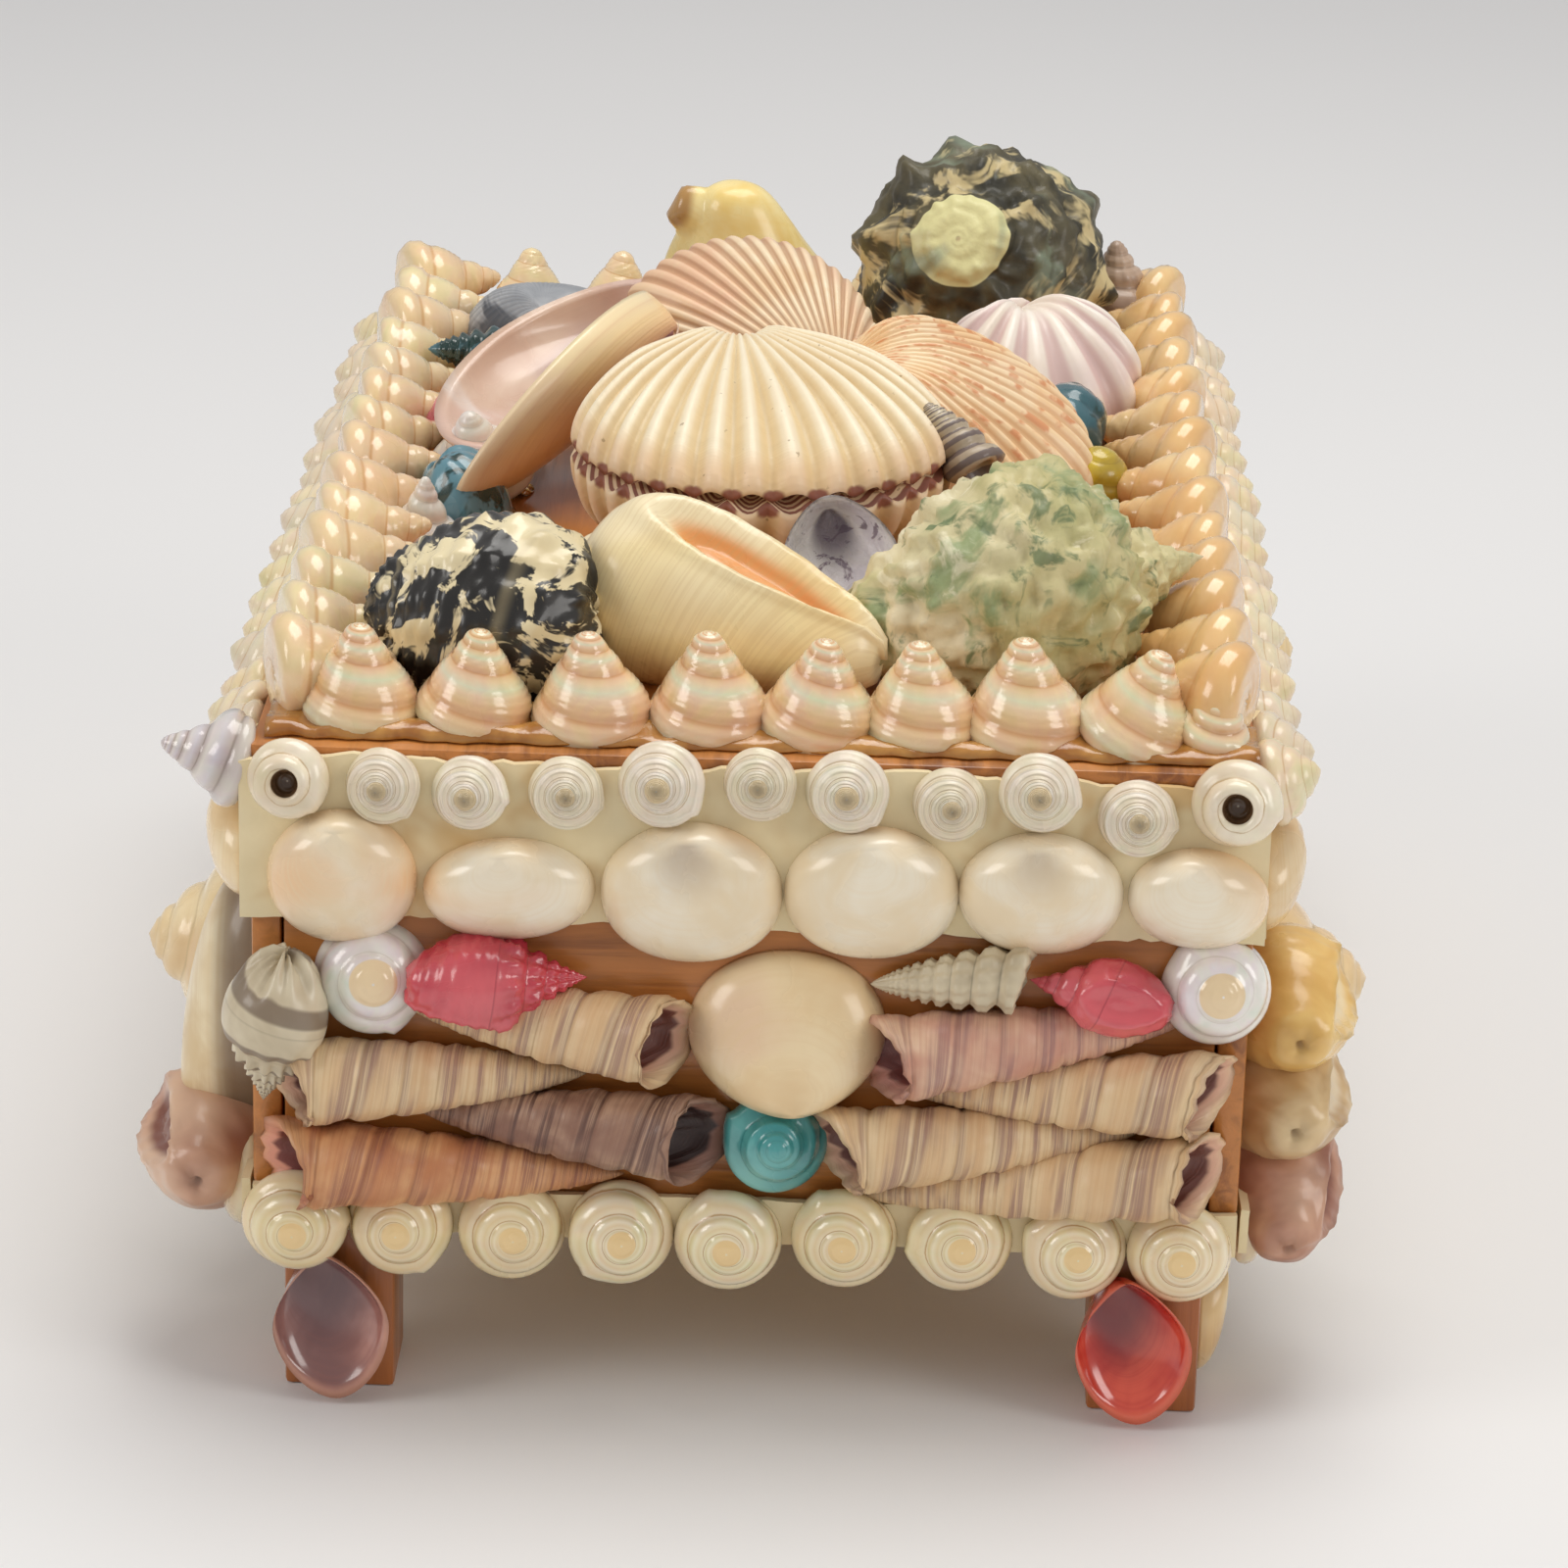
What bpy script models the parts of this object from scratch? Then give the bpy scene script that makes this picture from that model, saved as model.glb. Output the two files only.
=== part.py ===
"""Shell box: a small wooden box on four legs, with a lift-off lid, covered with glued seashells.

The wood and card carcass is worked out from the driving sizes below. Each shell is a closed
body lofted through a few rings, cut flat where it is glued, and seated clear of its neighbours.
X is the width, -Y the front, Z up, with the origin under the middle of the box.
"""

import math

import bmesh
import bpy
from mathutils import Matrix, Vector
from mathutils.bvhtree import BVHTree

MM = 0.001

# Driving sizes of the carcass
BODY_WIDTH = 102.5 * MM
BODY_DEPTH = 177.5 * MM
WALL_TOP = 53.5 * MM
WALL_THICKNESS = 3.0 * MM
FLOOR_THICKNESS = 2.8 * MM
LEG_HEIGHT = 20.0 * MM
LEG_SIDE = 11.5 * MM
LEG_INSET = 3.2 * MM
LID_HEIGHT = 18.0 * MM
LID_BOARD_THICKNESS = 3.0 * MM
CARD_THICKNESS = 1.0 * MM
CARD_BELOW_TOP = 1.5 * MM
EDGING_HEIGHT = 5.0 * MM
EDGING_BELOW_FLOOR = 1.5 * MM
GLUE_BEAD_HEIGHT = 1.2 * MM
GLUE_BEAD_WIDTH = 8.0 * MM

# Clearances
GAP = 0.3 * MM
SINK = 0.5 * MM
ROUGH_FLATS = 0.003
CLOSE_FLATS = 0.00002

# Driving sizes of the shells that come in rows
BAND_SPIRAL_RADIUS = 3.9 * MM
BAND_SPIRAL_PITCH = 9.6 * MM
BAND_SPIRAL_UNDER_TOP = 3.9 * MM
BAND_CLAM_PITCH = 17.4 * MM
BAND_CLAM_ABOVE_JOINT = 4.0 * MM
BAND_CLAM_HEIGHT = 12.0 * MM
BAND_CLAM_BULGE = 4.6 * MM
LOW_SPIRAL_RADIUS = 5.25 * MM
LOW_SPIRAL_PITCH = 11.5 * MM
TOP_ROW_RADIUS = 5.2 * MM
TOP_ROW_HEIGHT = 10.5 * MM
TOP_ROW_PITCH = 11.26 * MM
TOP_ROW_INSET = 9.2 * MM
SIDE_ROW_RADIUS = 4.6 * MM
SIDE_ROW_LENGTH = 11.5 * MM
SIDE_ROW_PITCH = 13.6 * MM
SIDE_ROW_INSET = 3.4 * MM

# The box on which the places of the single shells below were measured, in millimetres
DRAWN_WIDTH = 102.5
DRAWN_DEPTH = 177.5
DRAWN_WALL_BOTTOM = 20.0
DRAWN_WALL_TOP = 53.5

# Levels and outlines that follow from the driving sizes
LID_TOP = WALL_TOP + LID_HEIGHT
WALL_BOTTOM = LEG_HEIGHT + FLOOR_THICKNESS + GAP
LID_BOARD_BOTTOM = LID_TOP - LID_BOARD_THICKNESS
CARD_BOTTOM = WALL_TOP + GAP
CARD_TOP = LID_TOP - CARD_BELOW_TOP
CARD_FACE = GAP + CARD_THICKNESS
LID_WIDTH = BODY_WIDTH + 2 * CARD_FACE
LID_DEPTH = BODY_DEPTH + 2 * CARD_FACE


def finish(name, colour, roughness, metallic=0.0):
    """A material with one colour, roughness and metallic value."""
    material = bpy.data.materials.new(name)
    material.use_nodes = True
    shader = material.node_tree.nodes["Principled BSDF"]
    shader.inputs["Base Color"].default_value = (*colour, 1.0)
    shader.inputs["Roughness"].default_value = roughness
    shader.inputs["Metallic"].default_value = metallic
    material.diffuse_color = (*colour, 1.0)
    return material


def clear_scene():
    for item in list(bpy.data.objects):
        bpy.data.objects.remove(item)


def add_object(name, shape, material=None):
    """Turn a bmesh into a named object and free the bmesh."""
    mesh = bpy.data.meshes.new(name)
    bmesh.ops.triangulate(shape, faces=shape.faces)
    shape.to_mesh(mesh)
    shape.free()
    if material:
        mesh.materials.append(material)
    item = bpy.data.objects.new(name, mesh)
    bpy.context.collection.objects.link(item)
    return item


# Frames: each panel has u to the right, v up and w outwards from its glued face


def panel(u_axis, v_axis, w_axis, origin):
    turn = Matrix((u_axis, v_axis, w_axis)).transposed().to_4x4()
    return Matrix.Translation(origin) @ turn


def front_panel(outwards=0.0):
    return panel((1, 0, 0), (0, 0, 1), (0, -1, 0), (0, -BODY_DEPTH / 2 - outwards, 0))


def back_panel(outwards=0.0):
    return panel((-1, 0, 0), (0, 0, 1), (0, 1, 0), (0, BODY_DEPTH / 2 + outwards, 0))


def right_panel(outwards=0.0):
    return panel((0, 1, 0), (0, 0, 1), (1, 0, 0), (BODY_WIDTH / 2 + outwards, 0, 0))


def left_panel(outwards=0.0):
    return panel((0, -1, 0), (0, 0, 1), (-1, 0, 0), (-BODY_WIDTH / 2 - outwards, 0, 0))


def aim(at, axis, toward=(0, 0, 1)):
    """Matrix that stands a shape's Z along axis, with its X turned to face toward."""
    z = Vector(axis).normalized()
    side = Vector(toward) - Vector(toward).dot(z) * z
    if side.length < 1e-6:
        side = z.orthogonal()
    x = side.normalized()
    turn = Matrix((x, z.cross(x), z)).transposed().to_4x4()
    return Matrix.Translation(at) @ turn


def millimetres(*values):
    return Vector([value * MM for value in values])


def across(x):
    """A measured place along the width, in millimetres, on the box as wide as it is now."""
    return x * BODY_WIDTH / MM / DRAWN_WIDTH


def along(y):
    return y * BODY_DEPTH / MM / DRAWN_DEPTH


def up_the_wall(z):
    share = (z - DRAWN_WALL_BOTTOM) / (DRAWN_WALL_TOP - DRAWN_WALL_BOTTOM)
    return (LEG_HEIGHT + share * (WALL_TOP - LEG_HEIGHT)) / MM


def front_spot(u, v, w):
    return millimetres(across(u), up_the_wall(v), w)


def stack_on_side(anchor):
    """Places in one stack of shells on a long side, which moves as one with its anchor."""
    def spot(u, v, w):
        drawn_middle = (DRAWN_WALL_BOTTOM + DRAWN_WALL_TOP) / 2
        return millimetres(along(anchor) + u - anchor, up_the_wall(drawn_middle) + v - drawn_middle, w)
    return spot


# Closed bodies lofted through rings


def ring(radius, height, sides, flare=0.0, squash=1.0, shift=(0, 0), knobs=0.0, phase=0.0):
    """Points round local Z; flare opens the outline like a spiral, knobs raise every second one."""
    points = []
    for index in range(sides):
        turn = index / sides
        reach = radius * (1 + flare * (turn - 0.5)) * (1 + knobs * (-1) ** index)
        angle = 2 * math.pi * (turn + phase)
        x = reach * math.cos(angle) + shift[0]
        y = reach * squash * math.sin(angle) + shift[1]
        points.append(Vector((x, y, height)))
    return points


def loft(rings, tip=None):
    """One closed body: a flat first ring, quads between the rings, and a tip or a flat end."""
    shape = bmesh.new()
    loops = [[shape.verts.new(point) for point in points] for points in rings]
    for lower, upper in zip(loops, loops[1:]):
        for index, vert in enumerate(lower):
            after = (index + 1) % len(lower)
            shape.faces.new((vert, lower[after], upper[after], upper[index]))
    shape.faces.new(loops[0])
    if tip is None:
        shape.faces.new(loops[-1])
    else:
        point = shape.verts.new(tip)
        for index, vert in enumerate(loops[-1]):
            after = (index + 1) % len(loops[-1])
            shape.faces.new((vert, loops[-1][after], point))
    bmesh.ops.recalc_face_normals(shape, faces=shape.faces)
    bmesh.ops.triangulate(shape, faces=shape.faces)
    return shape


def box(size, centre):
    shape = bmesh.new()
    bmesh.ops.create_cube(shape, size=1.0)
    bmesh.ops.scale(shape, vec=size, verts=shape.verts)
    bmesh.ops.translate(shape, vec=centre, verts=shape.verts)
    return shape


def span_box(low, high):
    """A box between two opposite corners, given in any order."""
    low, high = Vector(low), Vector(high)
    size = [abs(high[axis] - low[axis]) for axis in range(3)]
    return box(size, (low + high) / 2)


# Shell kinds, each along its own Z


def disc_spiral(radius, height, sides=6):
    """Top shell glued on its mouth: a low cone with an outline that opens as it winds."""
    rings = [
        ring(radius * 0.84, -SINK, sides, flare=0.1),
        ring(radius, height * 0.34, sides, flare=0.1),
    ]
    return loft(rings, tip=(0, 0, height))


def plain_spiral(radius, height, sides=4):
    """The same shell as one low cone, for the sides and the back."""
    return loft([ring(radius * 1.02, -SINK, sides, flare=0.1)], tip=(0, 0, height))


def top_shell(radius, height, sides=6, base=0.78):
    """Upright top shell with two stepped whorls."""
    profile = ((base, 0.0), (1.0, 0.22), (0.56, 0.56))
    rings = [ring(radius * r, height * z, sides, flare=0.08) for r, z in profile]
    return loft(rings, tip=(0, 0, height))


def lying_top_shell(radius, height, sides=5):
    """Top shell that lies on its side, widest near its mouth."""
    profile = ((0.62, 0.0), (1.0, 0.28))
    rings = [ring(radius * r, height * z, sides, phase=0.25) for r, z in profile]
    return loft(rings, tip=(0, 0, height))


def auger(radius, length, sides=6, whorls=2, broken=True):
    """Long tapering shell with bulging whorls and, if broken, an open mouth at its wide end."""
    rings = [ring(radius * 0.97, 0.0, sides)]
    if broken:
        rings.insert(0, ring(radius * 0.6, 0.0, sides))
        rings.insert(0, ring(radius * 0.55, length * 0.13, sides))
    for whorl in range(whorls):
        bulge = (whorl + 0.55) / (whorls + 0.6)
        seam = (whorl + 1.0) / (whorls + 0.6)
        rings.append(ring(radius * (1 - bulge) * 1.05 + 0.2 * MM, length * bulge, sides))
        rings.append(ring(radius * (1 - seam) * 0.86 + 0.2 * MM, length * seam, sides))
    return loft(rings, tip=(0, 0, length))


def whelk(radius, length, sides=6, knobs=0.0, dent=0.3):
    """Spindle shell, its canal at the bottom, its spire at the top and a mouth on its X side."""
    profile = ((0.2, 0.0), (0.5, 0.2), (0.95, 0.46), (1.0, 0.62), (0.56, 0.78))
    rings = []
    for order, (r, z) in enumerate(profile):
        bumps = knobs if order in (2, 3) else 0.0
        points = ring(radius * r, length * z, sides, flare=0.12, knobs=bumps)
        if order in (1, 2):
            points[0].x -= radius * dent
        rings.append(points)
    return loft(rings, tip=(0, 0, length))


def clam(width, height, bulge, sides=10, rings=2, sink=SINK):
    """Smooth valve glued by its rim, its beak towards local Y."""
    loops = []
    for order in range(rings):
        share = order / rings
        scale = math.cos(share * math.pi / 2 * 0.92)
        lift = bulge * math.sin(share * math.pi / 2)
        shift = (0, height * 0.1 * share)
        level = -sink if order == 0 else lift
        squash = height / width
        loops.append(ring(width / 2 * scale, level, sides, squash=squash, shift=shift))
    return loft(loops, tip=(0, height * 0.12, bulge))


def cockle_rim(width, length, ribs):
    """Outline of a fan shell: two points for each rib, the hinge at the -Y end."""
    count = 2 * ribs
    points = []
    for index in range(count):
        angle = 2 * math.pi * (index + 0.5) / count - math.pi / 2
        crest = 1.0 + 0.03 * (-1) ** index
        x = width / 2 * math.cos(angle) * crest
        y = length / 2 * math.sin(angle) * crest
        if y < 0:
            x *= 1 - 0.3 * (y / (length / 2)) ** 2
        points.append(Vector((x, y, 0)))
    return points


def cockle(width, length, upper, lower, ribs):
    """Closed pair of ribbed valves; each bulges most near the beak at its -Y end."""
    rim = cockle_rim(width, length, ribs)
    beak = Vector((0, -length * 0.4, 0))

    def valve_ring(share, height, rib):
        points = []
        for index, point in enumerate(rim):
            spot = beak + (point - beak) * share
            ridge = 1 + rib * (-1) ** index
            points.append(Vector((spot.x, spot.y, height * ridge)))
        return points

    rings = [
        valve_ring(0.6, -lower * 0.92, 0.0),
        rim,
        valve_ring(0.90, upper * 0.46, 0.10),
        valve_ring(0.66, upper * 0.88, 0.07),
        valve_ring(0.34, upper * 1.0, 0.0),
    ]
    return loft(rings, tip=beak + Vector((0, length * 0.04, upper * 0.8)))


def dish(width, length, depth, wall, sides=10, steps=2):
    """One thin open valve, hollow side towards +Z, its beak at the -Y end."""
    squash = length / width

    def level_ring(share, height, inset):
        reach = width / 2 * share - inset
        shift = (0, -length * 0.12 * (1 - share))
        return ring(reach, height, sides, squash=squash, shift=shift)

    outside, inside = [], []
    for step in range(steps + 1):
        turn = math.pi / 2 * (0.3 + 0.7 * step / steps)
        share, level = math.sin(turn), -depth * math.cos(turn) / math.cos(math.pi * 0.15)
        outside.append(level_ring(share, level, 0.0))
        inside.insert(0, level_ring(share, level + wall * (1 - step / steps), wall))
    return loft(outside + inside)


def knobbed_turban(radius, height, sides=14):
    """Heavy turban shell: a knobbed body whorl, a knobbed shoulder and a flat worn spire disc."""
    rings = [
        ring(radius * 0.55, 0.0, sides, flare=0.15),
        ring(radius * 0.88, height * 0.18, sides, flare=0.15, knobs=0.05),
        ring(radius * 1.0, height * 0.42, sides, flare=0.15, knobs=0.08),
        ring(radius * 0.9, height * 0.66, sides, flare=0.12, knobs=0.07),
        ring(radius * 0.52, height * 0.84, sides, flare=0.1, knobs=0.04),
        ring(radius * 0.4, height * 0.9, sides),
        ring(radius * 0.36, height * 1.0, sides),
        ring(radius * 0.12, height * 0.94, sides),
    ]
    return loft(rings)


def murex(radius, length, sides=12):
    """Knobby rock shell lying on its mouth, with rows of blunt knobs over its body."""
    profile = ((0.35, 0.0), (0.62, 0.1), (0.85, 0.24), (0.98, 0.4), (1.0, 0.55), (0.86, 0.68),
               (0.66, 0.78), (0.5, 0.9))
    rings = []
    for order, (r, z) in enumerate(profile):
        bumps = 0.075 * (-1) ** order if 0 < order < 7 else 0.0
        rings.append(ring(radius * r, length * z, sides, flare=0.14, knobs=bumps))
    return loft(rings, tip=(0, 0, length))


def nerite(radius, length, sides=10):
    """Round thick shell with a low blunt spire at one end."""
    profile = ((0.6, 0.0), (1.0, 0.3), (0.98, 0.56), (0.72, 0.82), (0.4, 0.95))
    rings = [ring(radius * r, length * z, sides, flare=0.16) for r, z in profile]
    return loft(rings, tip=(0, 0, length))


def triangle_wedge(width, height, bulge, sides=9):
    """Valve with a ridge down its back and a pointed end, hollow side glued down."""
    squash = height / width
    rings = [
        ring(width / 2, 0.0, sides, squash=squash),
        ring(width / 2 * 0.72, bulge * 0.62, sides, squash=squash * 0.8, shift=(-width * 0.05, 0)),
    ]
    return loft(rings, tip=(-width * 0.1, 0, bulge))


# Placing, cutting and joining


def placed(shape, matrix):
    bmesh.ops.transform(shape, matrix=matrix, verts=shape.verts)
    return shape


def cut_flat(shape, level):
    """Take away what lies below a level of local Z, and close the cut with a flat face."""
    geometry = shape.verts[:] + shape.edges[:] + shape.faces[:]
    plane = Vector((0, 0, level))
    cut = bmesh.ops.bisect_plane(
        shape, geom=geometry, plane_co=plane, plane_no=(0, 0, 1), clear_inner=True, dist=1e-7
    )
    edges = [item for item in cut["geom_cut"] if isinstance(item, bmesh.types.BMEdge)]
    if edges:
        bmesh.ops.holes_fill(shape, edges=edges)
    bmesh.ops.recalc_face_normals(shape, faces=shape.faces)
    bmesh.ops.triangulate(shape, faces=shape.faces)
    return shape


def lying(shape_of, start, end, spin=0.0):
    """A shell laid from its wide end to its tip."""
    start, end = Vector(start), Vector(end)
    length = (end - start).length
    shape = shape_of(length)
    return placed(shape, aim(start, end - start) @ Matrix.Rotation(spin, 4, "Z"))


def baked(item):
    """A bmesh of the object as its modifiers leave it."""
    graph = bpy.context.evaluated_depsgraph_get()
    graph.update()
    shape = bmesh.new()
    mesh = bpy.data.meshes.new_from_object(item.evaluated_get(graph))
    shape.from_mesh(mesh)
    bpy.data.meshes.remove(mesh)
    return shape


def boolean(shape, tool, operation, crossing_tool=False):
    """Union or difference of two bmeshes, as one new bmesh."""
    target, cutter = add_object("worked", shape), add_object("tool", tool)
    modifier = target.modifiers.new("join", "BOOLEAN")
    modifier.operation = operation
    modifier.object = cutter
    modifier.use_self = crossing_tool
    result = baked(target)
    for item in (target, cutter):
        bpy.data.objects.remove(item)
    bmesh.ops.remove_doubles(result, verts=result.verts, dist=0.002 * MM)
    bmesh.ops.triangulate(result, faces=result.faces)
    return result


def is_closed(shape):
    return all(len(edge.link_faces) == 2 for edge in shape.edges)


def with_large_flats(shape, tolerance):
    """The same body with its flat areas in as few triangles as they take."""
    simpler = shape.copy()
    flat = math.radians(0.5)
    bmesh.ops.dissolve_limit(simpler, angle_limit=flat, verts=simpler.verts, edges=simpler.edges)
    bmesh.ops.triangulate(simpler, faces=simpler.faces)
    volume = shape.calc_volume(signed=True)
    same = abs(simpler.calc_volume(signed=True) - volume) < tolerance * abs(volume)
    whole = is_closed(simpler) and len(islands(simpler)) == len(islands(shape))
    kept, dropped = (simpler, shape) if same and whole else (shape, simpler)
    dropped.free()
    return kept


def fused(shapes):
    """One closed body of several that overlap where they touch."""
    whole = shapes[0]
    for shape in shapes[1:]:
        whole = with_large_flats(boolean(whole, shape, "UNION"), ROUGH_FLATS)
    return whole


def islands(shape):
    """The separate bodies of a bmesh, each as a set of faces."""
    left = set(shape.faces)
    found = []
    while left:
        stack = [left.pop()]
        body = set(stack)
        while stack:
            face = stack.pop()
            for edge in face.edges:
                for other in edge.link_faces:
                    if other in left:
                        left.discard(other)
                        body.add(other)
                        stack.append(other)
        found.append(body)
    return found


def keep_main_body(shape):
    """Drop the crumbs that a cut leaves beside the main body."""
    bodies = sorted(islands(shape), key=lambda body: sum(face.calc_area() for face in body))
    for crumbs in bodies[:-1]:
        bmesh.ops.delete(shape, geom=list(crumbs), context="FACES")
    return shape


def corners(item):
    points = [item.matrix_world @ vert.co for vert in item.data.vertices]
    low = Vector([min(point[axis] for point in points) for axis in range(3)])
    high = Vector([max(point[axis] for point in points) for axis in range(3)])
    return low, high


def near(item, other):
    (low, high), (other_low, other_high) = corners(item), corners(other)
    return all(
        low[axis] - GAP < other_high[axis] and high[axis] + GAP > other_low[axis]
        for axis in range(3)
    )


def swollen(item, growth):
    """The object's mesh grown a little, to cut the seat of its neighbour."""
    shape = bmesh.new()
    shape.from_mesh(item.data)
    bmesh.ops.remove_doubles(shape, verts=shape.verts, dist=0.05 * MM)
    shape.normal_update()
    moves = [vert.normal * growth * min(vert.calc_shell_factor(), 2.0) for vert in shape.verts]
    for vert, move in zip(shape.verts, moves):
        vert.co += move
    return shape


def cut_reaches(shape, other):
    """Whether a cut body still crosses the neighbour that it was cut for."""
    neighbour = bmesh.new()
    neighbour.from_mesh(other.data)
    crossings = BVHTree.FromBMesh(shape).overlap(BVHTree.FromBMesh(neighbour))
    neighbour.free()
    return bool(crossings)


def seat_clear_of(item, others):
    """Cut back an object where it would run into the ones placed before it.

    The second, closer cut takes what a fold in the grown neighbour may have left.
    """
    for other in others:
        if not near(item, other):
            continue
        shape = bmesh.new()
        shape.from_mesh(item.data)
        cut = boolean(shape, swollen(other, GAP), "DIFFERENCE", crossing_tool=True)
        if cut_reaches(cut, other):
            cut = boolean(cut, swollen(other, GAP / 10), "DIFFERENCE", crossing_tool=True)
        result = keep_main_body(with_large_flats(cut, CLOSE_FLATS))
        result.to_mesh(item.data)
        result.free()


class Maker:
    """Adds the nodes in order, each shell seated clear of those before it."""

    def __init__(self):
        self.placed = []

    def add(self, name, shape, material, seat=True):
        item = add_object(name, shape, material)
        if seat:
            seat_clear_of(item, self.placed)
        self.placed.append(item)
        return item


# The wooden box and the lid


def add_carcass(make, wood, pale_wood):
    half_width, half_depth = BODY_WIDTH / 2, BODY_DEPTH / 2
    inner_width = half_width - WALL_THICKNESS
    floor = span_box((-half_width, -half_depth, LEG_HEIGHT),
                     (half_width, half_depth, LEG_HEIGHT + FLOOR_THICKNESS))
    make.add("box_floor", floor, pale_wood, seat=False)
    for name, side in (("left", -1), ("right", 1)):
        low = (side * half_width, -half_depth, WALL_BOTTOM)
        high = (side * inner_width, half_depth, WALL_TOP)
        make.add("box_wall_" + name, span_box(low, high), wood, seat=False)
    for name, side in (("front", -1), ("back", 1)):
        low = (-inner_width + GAP, side * half_depth, WALL_BOTTOM)
        high = (inner_width - GAP, side * (half_depth - WALL_THICKNESS), WALL_TOP)
        make.add("box_wall_" + name, span_box(low, high), wood, seat=False)
    for name, side in (("left", -1), ("right", 1)):
        for end, toward in (("front", -1), ("back", 1)):
            outer_x = side * (half_width - LEG_INSET)
            outer_y = toward * half_depth
            low = (outer_x, outer_y, 0)
            high = (outer_x - side * LEG_SIDE, outer_y - toward * LEG_SIDE, LEG_HEIGHT - GAP)
            make.add(f"leg_{end}_{name}", span_box(low, high), wood, seat=False)


def add_lid(make, wood):
    half_width, half_depth = BODY_WIDTH / 2, BODY_DEPTH / 2
    bottom, top = WALL_TOP + GAP, LID_BOARD_BOTTOM - GAP
    inner_width = half_width - WALL_THICKNESS
    board = span_box((-half_width, -half_depth, LID_BOARD_BOTTOM),
                     (half_width, half_depth, LID_TOP))
    make.add("lid_board", board, wood, seat=False)
    for name, side in (("left", -1), ("right", 1)):
        low = (side * half_width, -half_depth, bottom)
        high = (side * inner_width, half_depth, top)
        make.add("lid_rail_" + name, span_box(low, high), wood, seat=False)
    for name, side in (("front", -1), ("back", 1)):
        low = (-inner_width + GAP, side * half_depth, bottom)
        high = (inner_width - GAP, side * (half_depth - WALL_THICKNESS), top)
        make.add("lid_rail_" + name, span_box(low, high), wood, seat=False)


# Rows along the edges


def even_places(count, pitch):
    return [(index - (count - 1) / 2) * pitch for index in range(count)]


def count_in(length, pitch):
    return max(1, round(length / pitch))


def card_band(half_length, fine):
    """Card strip round the lid with a row of top shells above a row of clams, in panel axes."""
    card = span_box((-half_length, CARD_BOTTOM, -CARD_THICKNESS), (half_length, CARD_TOP, 0))
    shapes = []
    spiral_level = LID_TOP - BAND_SPIRAL_UNDER_TOP
    clam_level = WALL_TOP + BAND_CLAM_ABOVE_JOINT
    pitch = BAND_SPIRAL_PITCH
    spiral = disc_spiral if fine else plain_spiral
    for order, u in enumerate(even_places(count_in(2 * half_length, pitch), pitch)):
        v = spiral_level + 0.4 * MM * math.sin(2.3 * order)
        shape = spiral(BAND_SPIRAL_RADIUS, 4.6 * MM)
        turn = Matrix.Rotation(1.9 * order, 4, "Z")
        shapes.append(placed(shape, Matrix.Translation((u, v, 0)) @ turn))
    clam_pitch = BAND_CLAM_PITCH if fine else BAND_CLAM_PITCH * 1.15
    for order, u in enumerate(even_places(count_in(2 * half_length, clam_pitch), clam_pitch)):
        width = clam_pitch * (0.95 + 0.03 * math.sin(1.7 * order))
        height = BAND_CLAM_HEIGHT * ((0.94 if fine else 0.76) + 0.06 * math.cos(2.1 * order))
        shape = clam(width, height, BAND_CLAM_BULGE, *((10, 2) if fine else (7, 1)))
        shapes.append(placed(shape, Matrix.Translation((u, clam_level, 0))))
    return fused([card] + shapes)


def add_card_bands(make, card):
    long_half = LID_DEPTH / 2 - CARD_THICKNESS - GAP
    bands = (
        ("front", front_panel(CARD_FACE), LID_WIDTH / 2, True),
        ("left", left_panel(CARD_FACE), long_half, False),
        ("right", right_panel(CARD_FACE), long_half, False),
        ("back", back_panel(CARD_FACE), LID_WIDTH / 2, False),
    )
    for name, where, half_length, fine in bands:
        make.add("lid_band_" + name, placed(card_band(half_length, fine), where), card)


def low_row(half_length, fine):
    """Edging strip along the bottom of the box with a row of large top shells on it."""
    low = LEG_HEIGHT - EDGING_BELOW_FLOOR
    strip = span_box((-half_length, low, -CARD_THICKNESS), (half_length, low + EDGING_HEIGHT, 0))
    shapes = []
    pitch = LOW_SPIRAL_PITCH
    spiral = disc_spiral if fine else plain_spiral
    for order, u in enumerate(even_places(count_in(2 * half_length, pitch), pitch)):
        shape = spiral(LOW_SPIRAL_RADIUS, 5.4 * MM)
        v = LEG_HEIGHT - 0.5 * MM + 0.3 * MM * math.cos(2.0 * order)
        turn = Matrix.Rotation(2.6 * order, 4, "Z")
        shapes.append(placed(shape, Matrix.Translation((u, v, 0)) @ turn))
    return fused([strip] + shapes)


def add_low_rows(make, card):
    long_half = BODY_DEPTH / 2
    rows = (
        ("front", front_panel(CARD_FACE), BODY_WIDTH / 2, True),
        ("left", left_panel(CARD_FACE), long_half, False),
        ("right", right_panel(CARD_FACE), long_half, False),
        ("back", back_panel(CARD_FACE), BODY_WIDTH / 2, False),
    )
    for name, where, half_length, fine in rows:
        make.add("low_row_" + name, placed(low_row(half_length, fine), where), card)


def bead(low, high):
    """Strip of set glue under a row of shells, deeper than it stays once cut flat on the lid."""
    floor = LID_TOP + GAP
    return span_box((*low, floor - GLUE_BEAD_HEIGHT), (*high, floor + GLUE_BEAD_HEIGHT))


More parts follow.
